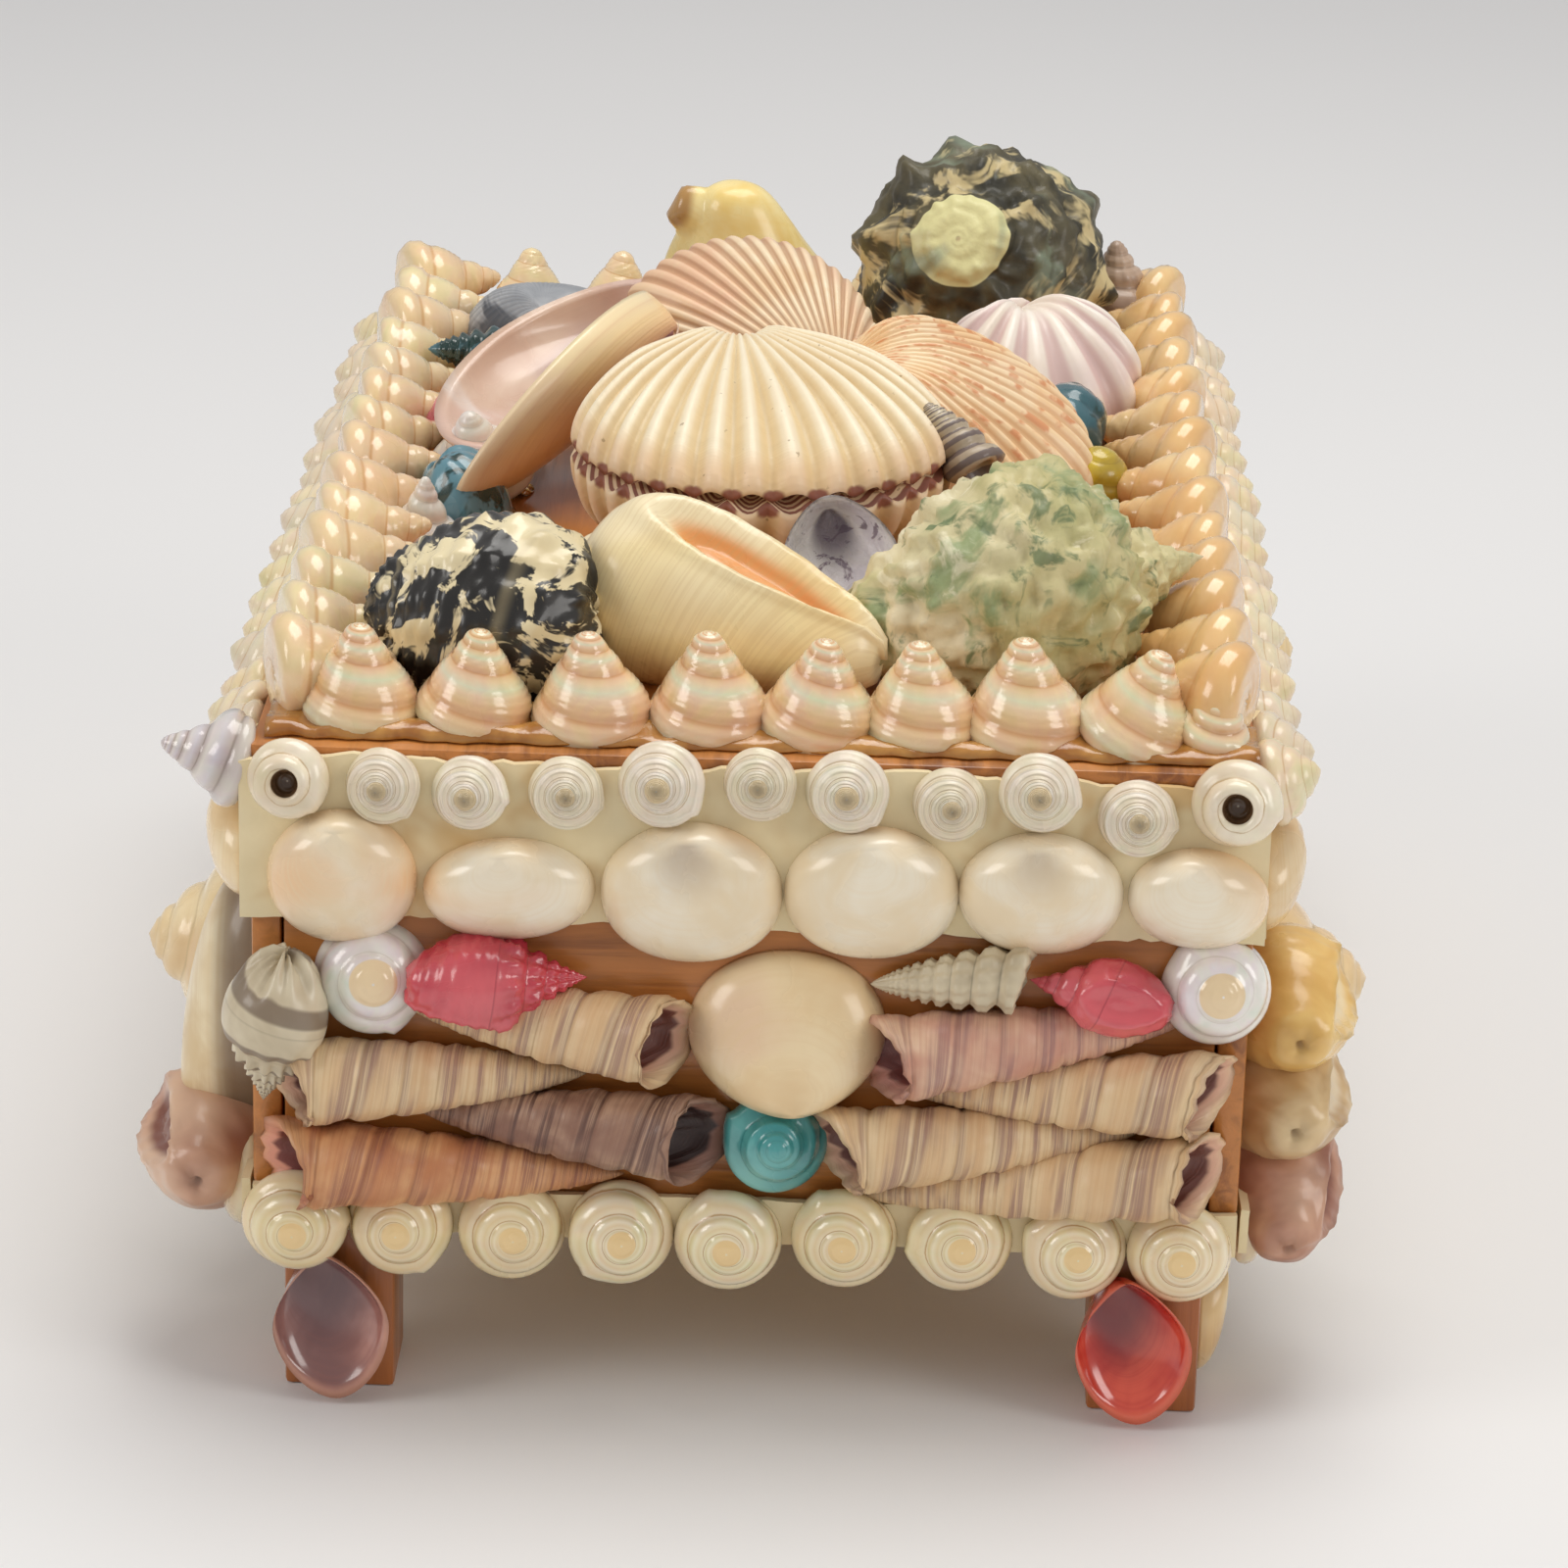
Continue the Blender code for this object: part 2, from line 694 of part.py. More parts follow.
def front_top_row():
    """Upright top shells along the front edge of the lid, with two broken ones at the right."""
    y = -LID_DEPTH / 2 + TOP_ROW_INSET
    places = [-41.0 * MM + order * TOP_ROW_PITCH for order in range(8)]
    half = GLUE_BEAD_WIDTH / 2
    shapes = [bead((places[0] - half, y - half), (LID_WIDTH / 2 - 3 * MM, y + half))]
    floor = LID_TOP + GAP
    for order, x in enumerate(places):
        axis = (0.08 * math.sin(2.0 * order), -0.12, 1)
        at = (x, y + 0.5 * MM, floor - SINK)
        shape = placed(top_shell(TOP_ROW_RADIUS, TOP_ROW_HEIGHT), aim(at, axis, (1, 0, 0)))
        shapes.append(shape)
    at = (places[-1] + TOP_ROW_PITCH * 0.78, y + 1 * MM, floor)
    stump = placed(top_shell(3.4 * MM, 6.0 * MM, 6), aim(at, (0, 0, 1)))
    shapes.append(stump)
    return cut_flat(fused(shapes), floor)


def side_top_row(side, count):
    """Top shells lying across a long edge of the lid, spires inwards."""
    wide_end = side * (LID_WIDTH / 2 - SIDE_ROW_INSET)
    half = GLUE_BEAD_WIDTH / 2
    places = [TOP_ROW_INSET * 0.75 + y for y in even_places(count, SIDE_ROW_PITCH)]
    floor = LID_TOP + GAP
    middle = wide_end - side * SIDE_ROW_LENGTH * 0.45
    ends = SIDE_ROW_PITCH / 3
    shapes = [bead((middle - half, places[0] - ends), (middle + half, places[-1] + ends))]
    for order, y in enumerate(places):
        start = Vector((wide_end, y - 1 * MM, floor + SIDE_ROW_RADIUS * 0.72))
        reach = Vector((-side * SIDE_ROW_LENGTH, 3.4 * MM + 1.2 * MM * math.sin(3 * order), 0))
        shapes.append(lying(lambda length: lying_top_shell(SIDE_ROW_RADIUS, length),
                            start, start + reach))
    return cut_flat(fused(shapes), floor)


def back_top_row():
    y = LID_DEPTH / 2 - TOP_ROW_INSET
    places = even_places(count_in(LID_WIDTH - 26 * MM, TOP_ROW_PITCH), TOP_ROW_PITCH)
    half = GLUE_BEAD_WIDTH / 2
    floor = LID_TOP + GAP
    shapes = [bead((places[0] - half, y - half), (places[-1] + half, y + half))]
    for order, x in enumerate(places):
        at = (x, y, floor - 0.4 * MM)
        axis = (0.1 * math.sin(order), 0.1, 1)
        shapes.append(placed(lying_top_shell(TOP_ROW_RADIUS * 0.9, TOP_ROW_HEIGHT * 0.85),
                             aim(at, axis, (1, 0, 0))))
    return cut_flat(fused(shapes), floor)


def add_top_rows(make, pearl, amber):
    row_count = count_in(LID_DEPTH - 2 * TOP_ROW_INSET, SIDE_ROW_PITCH)
    make.add("lid_row_front", front_top_row(), pearl)
    make.add("lid_row_left", side_top_row(-1, row_count), pearl)
    make.add("lid_row_right", side_top_row(1, row_count), amber)
    make.add("lid_row_back", back_top_row(), pearl)


# Shells on the lid


def on_lid(shape):
    return cut_flat(shape, LID_TOP + GAP)


def add_lid_shells(make, looks):
    lid = LID_TOP / MM

    def spot(x, y, above):
        return millimetres(across(x), along(y), lid + above)

    cream, tan, orange = looks["cream"], looks["tan"], looks["orange"]
    shape = cockle(43 * MM, 40 * MM, 11.5 * MM, 12.5 * MM, 14)
    where = facing(spot(-1.5, -23, 12.2), (0.2, -1, -0.02), (0, 0, 1))
    make.add("cockle_white", on_lid(placed(shape, where)), cream)

    shape = cockle(33 * MM, 32 * MM, 9 * MM, 9 * MM, 10)
    where = facing(spot(-5, 20, 10.5), (-0.8, 0.4, 0.45), (0.0, -0.74, 0.66))
    make.add("cockle_tan", on_lid(placed(shape, where)), tan)

    shape = cockle(28 * MM, 33 * MM, 9 * MM, 8 * MM, 10)
    where = facing(spot(20, -3, 9.0), (0.9, -0.12, -0.32), (0.28, -0.42, 0.86))
    make.add("cockle_orange", on_lid(placed(shape, where)), orange)

    shape = nerite(9.6 * MM, 25 * MM)
    where = aim(spot(-41.5, -66.5, 8.4), (1, -0.1, 0.02), (0, 0, 1))
    make.add("nerite", on_lid(placed(shape, where)), looks["dark"])

    shape = whelk(9.8 * MM, 35 * MM, 9, dent=0.35)
    start, end = spot(12, -67.5, 5.5), spot(-19.5, -56, 10.5)
    where = aim(start, end - start, (0.3, 0.4, 1))
    make.add("whelk_cream", on_lid(placed(shape, where)), cream)

    shape = murex(12 * MM, 35 * MM)
    start, end = spot(12, -65, 6.5), spot(44, -53, 10.5)
    make.add("rock_shell", on_lid(placed(shape, aim(start, end - start))), looks["green"])

    shape = knobbed_turban(16.5 * MM, 27 * MM)
    start = spot(26, 74, 7.5)
    where = aim(start, (-0.22, -0.85, 0.5))
    make.add("turban", on_lid(placed(shape, where)), looks["dark"])

    shape = triangle_wedge(29 * MM, 24 * MM, 23 * MM)
    where = aim(spot(-7, 66, 1), (0.05, -0.3, 1), (-1, 0, 0))
    make.add("mussel_yellow", on_lid(placed(shape, where)), looks["yellow"])

    shape = cockle(22 * MM, 20 * MM, 7 * MM, 6 * MM, 6)
    where = facing(spot(31, 33, 6.4), (0.25, -0.7, -0.5), (0.1, -0.5, 0.86))
    make.add("scallop_pink", on_lid(placed(shape, where)), looks["pink"])

    shape = dish(24 * MM, 38 * MM, 6 * MM, 1.3 * MM)
    where = facing(spot(-25, 11, 13), (-0.5, -0.8, -0.32), (-0.35, -0.25, 0.9))
    make.add("open_clam_left", on_lid(placed(shape, where)), looks["pink"])

    shape = dish(20 * MM, 40 * MM, 6 * MM, 1.3 * MM)
    where = facing(spot(-24.5, 1, 12), (-0.46, -0.83, -0.32), (-0.9, 0.42, 0.2))
    make.add("open_clam_right", on_lid(placed(shape, where)), looks["peach"])

    dome = clam(13 * MM, 12 * MM, 8 * MM, 10, 2, 0)
    tall_valve = clam(20 * MM, 17 * MM, 11 * MM, 8, 2, 0)
    small_valve = clam(11 * MM, 9 * MM, 8 * MM, 8, 2, 0)
    hollow_valve = dish(12.5 * MM, 16 * MM, 3 * MM, 1.2 * MM, 8)
    low_spiral = disc_spiral(5.2 * MM, 6 * MM)
    bubble = nerite(4.4 * MM, 9 * MM, 7)
    small = (
        ("limpet_blue", dome, (-31, -47, 0), (0, -0.1, 1), "blue"),
        ("valve_grey", tall_valve, (-30, 60, 0), (0, -0.2, 1), "grey"),
        ("top_shell_white", low_spiral, (-34.5, 3, 2), (-0.2, -0.3, 0.9), "white"),
        ("valve_teal", small_valve, (-36, -9, 0), (-0.1, -0.2, 1), "blue"),
        ("valve_silver", hollow_valve, (6.5, -49, 6.5), (0, -0.75, 0.65), "grey"),
        ("bubble_teal", bubble, (34, 14, 0), (0.1, -0.1, 1), "blue"),
    )
    for name, shape, at, axis, look in small:
        make.add(name, on_lid(placed(shape, aim(spot(*at), axis, (0, 1, 0)))), looks[look])


def facing(at, along, outwards):
    """Matrix for a valve: its hinge-to-margin line along one direction, its bulge along another."""
    y = Vector(along).normalized()
    z = (Vector(outwards) - Vector(outwards).dot(y) * y).normalized()
    turn = Matrix((y.cross(z), y, z)).transposed().to_4x4()
    return Matrix.Translation(at) @ turn


# Shells on the sides of the box


def flat_on(shape):
    return cut_flat(shape, GAP)


def auger_on(spot, big_end, tip, radius, *detail):
    """An auger lying on a panel, from its wide end to its tip; places in millimetres."""
    start = spot(*big_end, radius * 0.8)
    end = spot(*tip, 1.4)
    return lying(lambda length: auger(radius * MM, length, *detail), start, end)


def whelk_on(spot, canal, spire, radius, knobs=0.0, sides=6):
    start = spot(*canal, radius * 0.4)
    end = spot(*spire, radius * 0.4)
    return lying(lambda length: whelk(radius * MM, length, sides, knobs), start, end)


def disc_on(spot, u, v, radius, height):
    return placed(disc_spiral(radius * MM, height * MM), Matrix.Translation(spot(u, v, 0)))


def clam_on(spot, u, v, width, height, bulge, turn=0.0, sides=10, rings=2):
    shape = clam(width * MM, height * MM, bulge * MM, sides, rings)
    where = Matrix.Translation(spot(u, v, 0)) @ Matrix.Rotation(math.radians(turn), 4, "Z")
    return placed(shape, where)


def add_front_shells(make, looks):
    where = front_panel()
    left = [
        auger_on(front_spot, (-49, 36.2), (-17, 40.6), 4.0),
        auger_on(front_spot, (-7, 41), (-33, 42), 4.3),
        auger_on(front_spot, (-49, 27), (-12, 30.6), 4.1),
        auger_on(front_spot, (-4, 30.4), (-39, 37.2), 4.0),
    ]
    right = [
        auger_on(front_spot, (12, 40.3), (42, 45.2), 4.1),
        auger_on(front_spot, (49, 38), (16, 40), 4.1),
        auger_on(front_spot, (7.5, 29.5), (40, 37.4), 4.0),
        auger_on(front_spot, (48.5, 29), (12, 29.6), 3.9),
    ]
    clam_front = clam_on(front_spot, 3.7, 42.4, 20.3, 17, 6, 180, 12)
    make.add("clam_front", placed(flat_on(clam_front), where), looks["cream"])
    spiral_teal = disc_on(front_spot, 2.8, 29.4, 4.8, 6)
    make.add("spiral_teal", placed(flat_on(spiral_teal), where), looks["blue"])
    make.add("augers_front_left", placed(flat_on(fused(left)), where), looks["tan"])
    make.add("augers_front_right", placed(flat_on(fused(right)), where), looks["tan"])
    upper_left = [
        whelk_on(front_spot, (-48.5, 49), (-47.5, 33.5), 5.4, 0.06),
        disc_on(front_spot, -39.8, 45.0, 6.0, 6),
        whelk_on(front_spot, (-38.5, 47.8), (-18.5, 48), 4.8, 0.08),
    ]
    upper_right = [
        whelk_on(front_spot, (28.5, 50), (11.5, 48.5), 2.9),
        whelk_on(front_spot, (44.5, 48), (27, 50.0), 3.6, 0.08),
        disc_on(front_spot, 47.6, 47.2, 5.4, 5.5),
    ]
    upper_left, upper_right = flat_on(fused(upper_left)), flat_on(fused(upper_right))
    make.add("small_shells_front_left", placed(upper_left, where), looks["pearl"])
    make.add("small_shells_front_right", placed(upper_right, where), looks["red"])


def crossed_augers(spot, direction):
    """Two augers of one half of a long side, laid past each other."""
    return [
        auger_on(spot, (direction * 36, 42), (direction * 4, 39.5), 4.4, 5, 1, False),
        auger_on(spot, (direction * 11, 31.5), (direction * 38, 41.5), 4.2, 5, 1, False),
    ]


def round_snail(spot, u, v, radius, height):
    """A round shell glued on its mouth that stands far out from a long side."""
    shape = nerite(radius * MM, height * MM, 8)
    return placed(shape, Matrix.Translation(spot(u, v, 0)))


def side_middle():
    """A clam in the middle of a long side with two augers at each side of it."""
    spot = stack_on_side(0)
    shapes = [clam_on(spot, 0, 39, 23, 21, 7, 180, 9, 1)]
    return flat_on(fused(shapes + crossed_augers(spot, -1) + crossed_augers(spot, 1)))


def left_front_stack():
    """A tall valve over a whelk, and a round snail behind them."""
    spot = stack_on_side(67)
    return flat_on(fused([
        clam_on(spot, 72, 38.5, 19, 30, 9, 0, 9, 2),
        whelk_on(spot, (67, 23), (85, 22.5), 6.6, 0.06),
        round_snail(spot, 55, 36, 11.5, 15),
    ]))


def right_front_stack():
    """Three whelks above each other, and a round snail behind them."""
    spot = stack_on_side(-70)
    return flat_on(fused([
        round_snail(spot, -58, 36, 11.5, 15),
        whelk_on(spot, (-84, 41.5), (-62, 38), 6.2, 0.05),
        whelk_on(spot, (-85, 32), (-62, 33.5), 6.4, 0.08),
        whelk_on(spot, (-84, 21.5), (-66, 30.5), 6.4, 0.05),
    ]))


def back_stack(direction):
    """A clam above a whelk and a round snail on the back half of a long side."""
    spot = stack_on_side(direction * 64)
    return flat_on(fused([
        clam_on(spot, direction * 73, 39, 25, 25, 8, 180, 8, 2),
        round_snail(spot, direction * 55, 36, 11.5, 13),
    ]))


def add_side_shells(make, looks):
    sides = (("left", left_panel(), left_front_stack(), back_stack(-1)),
             ("right", right_panel(), right_front_stack(), back_stack(1)))
    for name, where, front, back in sides:
        make.add("shells_middle_" + name, placed(side_middle(), where), looks["tan"])
        make.add("shells_front_" + name, placed(front, where), looks["cream"])
        make.add("shells_back_" + name, placed(back, where), looks["cream"])
    back = [clam_on(front_spot, u, 39, across(25), 20, 7, 180, 8, 2) for u in even_places(4, 23)]
    make.add("clams_back", placed(flat_on(fused(back)), back_panel()), looks["cream"])


def leg_valve(turn):
    """A broken valve glued to a leg with its hollow side outwards."""
    shape = dish(11.5 * MM, 14.6 * MM, 3.2 * MM, 1.0 * MM, 8, 1)
    return placed(shape, Matrix.Rotation(math.radians(turn), 4, "Z"))


def add_leg_shells(make, looks):
    leg_middle = BODY_WIDTH / 2 - LEG_INSET - LEG_SIDE / 2
    level, lift = 7.6 * MM, 3.3 * MM
    for name, side, look in (("left", -1, "mauve"), ("right", 1, "red")):
        spot = Matrix.Translation((side * leg_middle, level, lift))
        front = flat_on(placed(leg_valve(170), spot))
        make.add("leg_shell_front_" + name, placed(front, front_panel()), looks[look])
        spot = Matrix.Translation((-side * leg_middle, level, lift))
        back = flat_on(placed(leg_valve(190), spot))
        make.add("leg_shell_back_" + name, placed(back, back_panel()), looks["mauve"])


def main():
    clear_scene()
    wood = finish("varnished_wood", (0.55, 0.27, 0.09), 0.4)
    pale_wood = finish("pale_wood", (0.72, 0.55, 0.33), 0.6)
    card = finish("shelled_card", (0.86, 0.80, 0.66), 0.55)
    looks = {
        "cream": finish("cream_shell", (0.90, 0.80, 0.58), 0.45),
        "tan": finish("tan_shell", (0.78, 0.58, 0.38), 0.5),
        "orange": finish("orange_shell", (0.86, 0.52, 0.30), 0.45),
        "dark": finish("dark_shell", (0.22, 0.20, 0.14), 0.5),
        "green": finish("green_shell", (0.66, 0.68, 0.48), 0.5),
        "yellow": finish("yellow_shell", (0.92, 0.78, 0.42), 0.4),
        "pink": finish("pink_shell", (0.82, 0.64, 0.58), 0.4),
        "peach": finish("peach_shell", (0.90, 0.66, 0.42), 0.4),
        "blue": finish("teal_shell", (0.10, 0.38, 0.42), 0.4),
        "grey": finish("grey_shell", (0.45, 0.44, 0.45), 0.4),
        "white": finish("white_shell", (0.90, 0.88, 0.84), 0.3),
        "mauve": finish("mauve_shell", (0.55, 0.28, 0.25), 0.3),
        "red": finish("red_shell", (0.62, 0.09, 0.10), 0.25),
        "pearl": finish("pearl_shell", (0.88, 0.84, 0.74), 0.25),
    }
    amber = finish("amber_shell", (0.86, 0.66, 0.36), 0.3)
    make = Maker()
    add_carcass(make, wood, pale_wood)
    add_lid(make, wood)
    add_card_bands(make, card)
    add_low_rows(make, card)
    add_front_shells(make, looks)
    add_side_shells(make, looks)
    add_leg_shells(make, looks)
    add_top_rows(make, looks["pearl"], amber)
    add_lid_shells(make, looks)


main()
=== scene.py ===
"""Shell box: a varnished wooden box on four legs with a lift-off lid, covered with glued shells."""

import math
import random

import bmesh
import bpy
from mathutils import Matrix, Vector, noise


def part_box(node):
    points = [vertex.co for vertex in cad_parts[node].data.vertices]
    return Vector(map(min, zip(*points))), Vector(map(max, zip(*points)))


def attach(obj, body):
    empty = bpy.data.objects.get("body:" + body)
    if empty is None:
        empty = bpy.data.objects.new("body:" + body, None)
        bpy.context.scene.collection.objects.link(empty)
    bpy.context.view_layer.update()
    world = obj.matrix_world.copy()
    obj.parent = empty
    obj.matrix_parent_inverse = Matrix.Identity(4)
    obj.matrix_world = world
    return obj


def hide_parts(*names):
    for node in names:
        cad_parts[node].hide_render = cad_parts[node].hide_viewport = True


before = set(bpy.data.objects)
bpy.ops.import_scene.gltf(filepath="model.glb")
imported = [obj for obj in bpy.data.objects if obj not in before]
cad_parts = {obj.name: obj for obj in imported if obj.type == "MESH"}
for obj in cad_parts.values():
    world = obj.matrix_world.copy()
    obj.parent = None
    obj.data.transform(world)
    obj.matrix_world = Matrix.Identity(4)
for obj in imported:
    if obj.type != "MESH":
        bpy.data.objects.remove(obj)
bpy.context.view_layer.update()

MM = 0.001
chance = random.Random(7)

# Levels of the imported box, in millimetres
FRONT = -88.75
BACK = 88.75
SIDE = 51.25
CARD = 1.3
LID_TOP = 71.5
GLUE_LEVEL = 71.8
GLUE_SKIN = 0.02
CARD_SHEET = 0.9
LEG_FACE = BACK + 4.2


# Shader arithmetic and finishes


class Number:
    """A shader socket that takes part in Python arithmetic."""

    def __init__(self, finish, socket):
        self.finish = finish
        self.socket = socket

    def maths(self, operation, *others):
        inputs = {index + 1: other for index, other in enumerate(others)}
        made = self.finish.node("ShaderNodeMath", {"operation": operation}, {0: self, **inputs})
        return Number(self.finish, made.outputs[0])

    def __add__(self, other):
        return self.maths("ADD", other)

    def __radd__(self, other):
        return self.maths("ADD", other)

    def __sub__(self, other):
        return self.maths("SUBTRACT", other)

    def __rsub__(self, other):
        return (self * -1.0).maths("ADD", other)

    def __mul__(self, other):
        return self.maths("MULTIPLY", other)

    def __rmul__(self, other):
        return self.maths("MULTIPLY", other)

    def sine(self):
        return self.maths("SINE")

    def over(self, low, high):
        """0 below low, 1 above high, smooth between."""
        made = self.finish.node(
            "ShaderNodeMapRange",
            {"interpolation_type": "SMOOTHSTEP"},
            {"Value": self, "From Min": low, "From Max": high},
        )
        return Number(self.finish, made.outputs["Result"])


class Finish:
    """One node material, built up around its Principled shader."""

    def __init__(self, name, roughness=0.4, coat=0.0, **constants):
        self.material = bpy.data.materials.new(name)
        self.material.use_nodes = True
        self.tree = self.material.node_tree
        self.shader = self.tree.nodes["Principled BSDF"]
        self.set("Roughness", roughness)
        self.set("Coat Weight", coat)
        self.set("Coat Roughness", 0.12)
        for socket, value in constants.items():
            self.set(socket.replace("_", " "), value)

    def set(self, socket, value):
        if isinstance(value, Number):
            self.tree.links.new(value.socket, self.shader.inputs[socket])
        else:
            self.shader.inputs[socket].default_value = value

    def node(self, kind, settings=None, inputs=None):
        """A node of a kind; its settings are set first, then its values and links."""
        made = self.tree.nodes.new(kind)
        for key, value in (settings or {}).items():
            if key == "stops":
                ramp = made.color_ramp
                while len(ramp.elements) < len(value):
                    ramp.elements.new(0.5)
                for element, (place, colour) in zip(ramp.elements, value):
                    element.position = place
                    element.color = (*colour, 1.0)
            else:
                setattr(made, key, value)
        for key, value in (inputs or {}).items():
            if isinstance(value, Number):
                self.tree.links.new(value.socket, made.inputs[key])
            elif value is not None:
                made.inputs[key].default_value = value
        return made

    def place(self):
        made = self.node("ShaderNodeTexCoord")
        return Number(self, made.outputs["Object"])

    def winding(self):
        """The wound map: turns round the spire, and whorls below the last seam."""
        made = self.node("ShaderNodeUVMap", {"uv_map": "wound"})
        parts = self.node("ShaderNodeSeparateXYZ", inputs={0: Number(self, made.outputs[0])})
        return Number(self, parts.outputs[0]), Number(self, parts.outputs[1])

    def wound(self):
        """Turns along the spiral, and the share across the whorl."""
        turn, whorl = self.winding()
        above = whorl.maths("FLOOR") * whorl.maths("LESS_THAN", 0.0)
        return turn + above, whorl - above

    def across(self):
        """The share across the whorl, or from beak to margin on a valve."""
        return self.wound()[1]

    def young(self):
        """1 on the oldest, smallest whorls at the tip, 0 below."""
        return 1.0 - self.winding()[1].over(-4.5, -2.5)

    def mark(self, name):
        made = self.node("ShaderNodeAttribute", {"attribute_name": name})
        return Number(self, made.outputs["Fac"])

    def ground(self):
        """The colour laid so far."""
        return Number(self, self.shader.inputs["Base Color"].links[0].from_socket)

    def stretched(self, scale):
        made = self.node("ShaderNodeMapping", inputs={0: self.place(), "Scale": scale})
        return Number(self, made.outputs[0])

    def vector(self, x, y, z=0.0):
        made = self.node("ShaderNodeCombineXYZ", inputs={0: x, 1: y, 2: z})
        return Number(self, made.outputs[0])

    def cloud(self, scale, detail=3.0, rough=0.5, warp=0.0, where=None):
        made = self.node(
            "ShaderNodeTexNoise",
            inputs={
                "Vector": where or self.place(),
                "Scale": scale,
                "Detail": detail,
                "Roughness": rough,
                "Distortion": warp,
            },
        )
        return Number(self, made.outputs[0])

    def ramp(self, factor, *stops):
        made = self.node("ShaderNodeValToRGB", {"stops": stops}, {0: factor})
        return Number(self, made.outputs[0])

    def mix(self, factor, first, second):
        """The first colour at 0, the second at 1."""
        made = self.node("ShaderNodeMix", {"data_type": "RGBA"}, {0: factor})
        for key, value in (("A", first), ("B", second)):
            socket = [item for item in made.inputs if item.name == key and item.type == "RGBA"][0]
            if isinstance(value, Number):
                self.tree.links.new(value.socket, socket)
            else:
                socket.default_value = (*value, 1.0)
        colour = [item for item in made.outputs if item.type == "RGBA"][0]
        return Number(self, colour)

    def paint(self, factor, colour):
        """Lay a colour over the ground, as strongly as the factor says."""
        self.set("Base Color", self.mix(factor, self.ground(), colour))

    def bump(self, height, depth):
        """Raise the surface by height times depth, with depth in millimetres."""
        made = self.node(
            "ShaderNodeBump", inputs={"Strength": 1.0, "Distance": depth * MM, "Height": height}
        )
        self.set("Normal", Number(self, made.outputs[0]))


def srgb(red, green, blue):
    """A colour given in 0 to 255 steps, as the shader takes it."""
    def straight(value):
        value /= 255
        return value / 12.92 if value <= 0.04045 else ((value + 0.055) / 1.055) ** 2.4
    return straight(red), straight(green), straight(blue)


# Placing


def millimetres(x, y, z):
    return Vector((x, y, z)) * MM


def stand(at, axis=(0, 0, 1), toward=(0.01, 0, 1), spin=0.0):
    """Matrix that stands a shell's spire along an axis, its X side turned toward a direction."""
    z = Vector(axis).normalized()
    side = Vector(toward) - Vector(toward).dot(z) * z
    if side.length < 1e-6:
        side = z.orthogonal()
    x = side.normalized()
    turn = Matrix((x, z.cross(x), z)).transposed().to_4x4()
    return Matrix.Translation(at) @ turn @ Matrix.Rotation(math.radians(spin), 4, "Z")


def facing(at, along, outwards):
    """Matrix for a valve: beak to margin along one direction, its bulge along another."""
    y = Vector(along).normalized()
    z = (Vector(outwards) - Vector(outwards).dot(y) * y).normalized()
    turn = Matrix((y.cross(z), y, z)).transposed().to_4x4()
    return Matrix.Translation(at) @ turn


def face(name, outwards=0.0):
    """Axes of one side of the box: u to the right, v up and w outwards, in millimetres."""
    sides = {
        "front": ((1, 0, 0), (0, -1, 0), (0, FRONT - outwards, 0)),
        "back": ((-1, 0, 0), (0, 1, 0), (0, BACK + outwards, 0)),
        "right": ((0, 1, 0), (1, 0, 0), (SIDE + outwards, 0, 0)),
        "left": ((0, -1, 0), (-1, 0, 0), (-SIDE - outwards, 0, 0)),
    }
    across, away, origin = sides[name]
    turn = Matrix((across, (0, 0, 1), away)).transposed().to_4x4()
    return Matrix.Translation(Vector(origin) * MM) @ turn


# Meshes


def woven(name, rings, wounds, marks):
    """A closed mesh through rings of points; a ring of one point closes an end.

    The wound map holds, for each ring, one more column than it has points, so that a pattern
    meets itself where the ring closes.
    """
    verts, starts, values = [], [], []
    for points, shades in zip(rings, marks):
        starts.append(len(verts))
        verts.extend(points)
        values.extend(shades)
    faces, maps = [], []
    for order in range(len(rings) - 1):
        upper, lower = rings[order], rings[order + 1]
        count = max(len(upper), len(lower))
        for column in range(count):
            after = column + 1
            corners = []
            if len(upper) > 1:
                corners += [(order, column), (order, after)]
            else:
                corners += [(order, 0)]
            if len(lower) > 1:
                corners += [(order + 1, after), (order + 1, column)]
            else:
                corners += [(order + 1, 0)]
            faces.append([starts[o] + c % len(rings[o]) for o, c in corners])
            for o, c in corners:
                maps.extend(wounds[o][c] if len(rings[o]) > 1 else wounds[o][0])
    mesh = bpy.data.meshes.new(name)
    mesh.from_pydata(verts, [], faces)
    mesh.uv_layers.new(name="wound").data.foreach_set("uv", maps)
    mesh.attributes.new("inside", "FLOAT", "POINT").data.foreach_set("value", values)
    shape = bmesh.new()
    shape.from_mesh(mesh)
    bmesh.ops.recalc_face_normals(shape, faces=shape.faces)
    for item in shape.faces:
        item.smooth = True
    shape.to_mesh(mesh)
    shape.free()
    return mesh


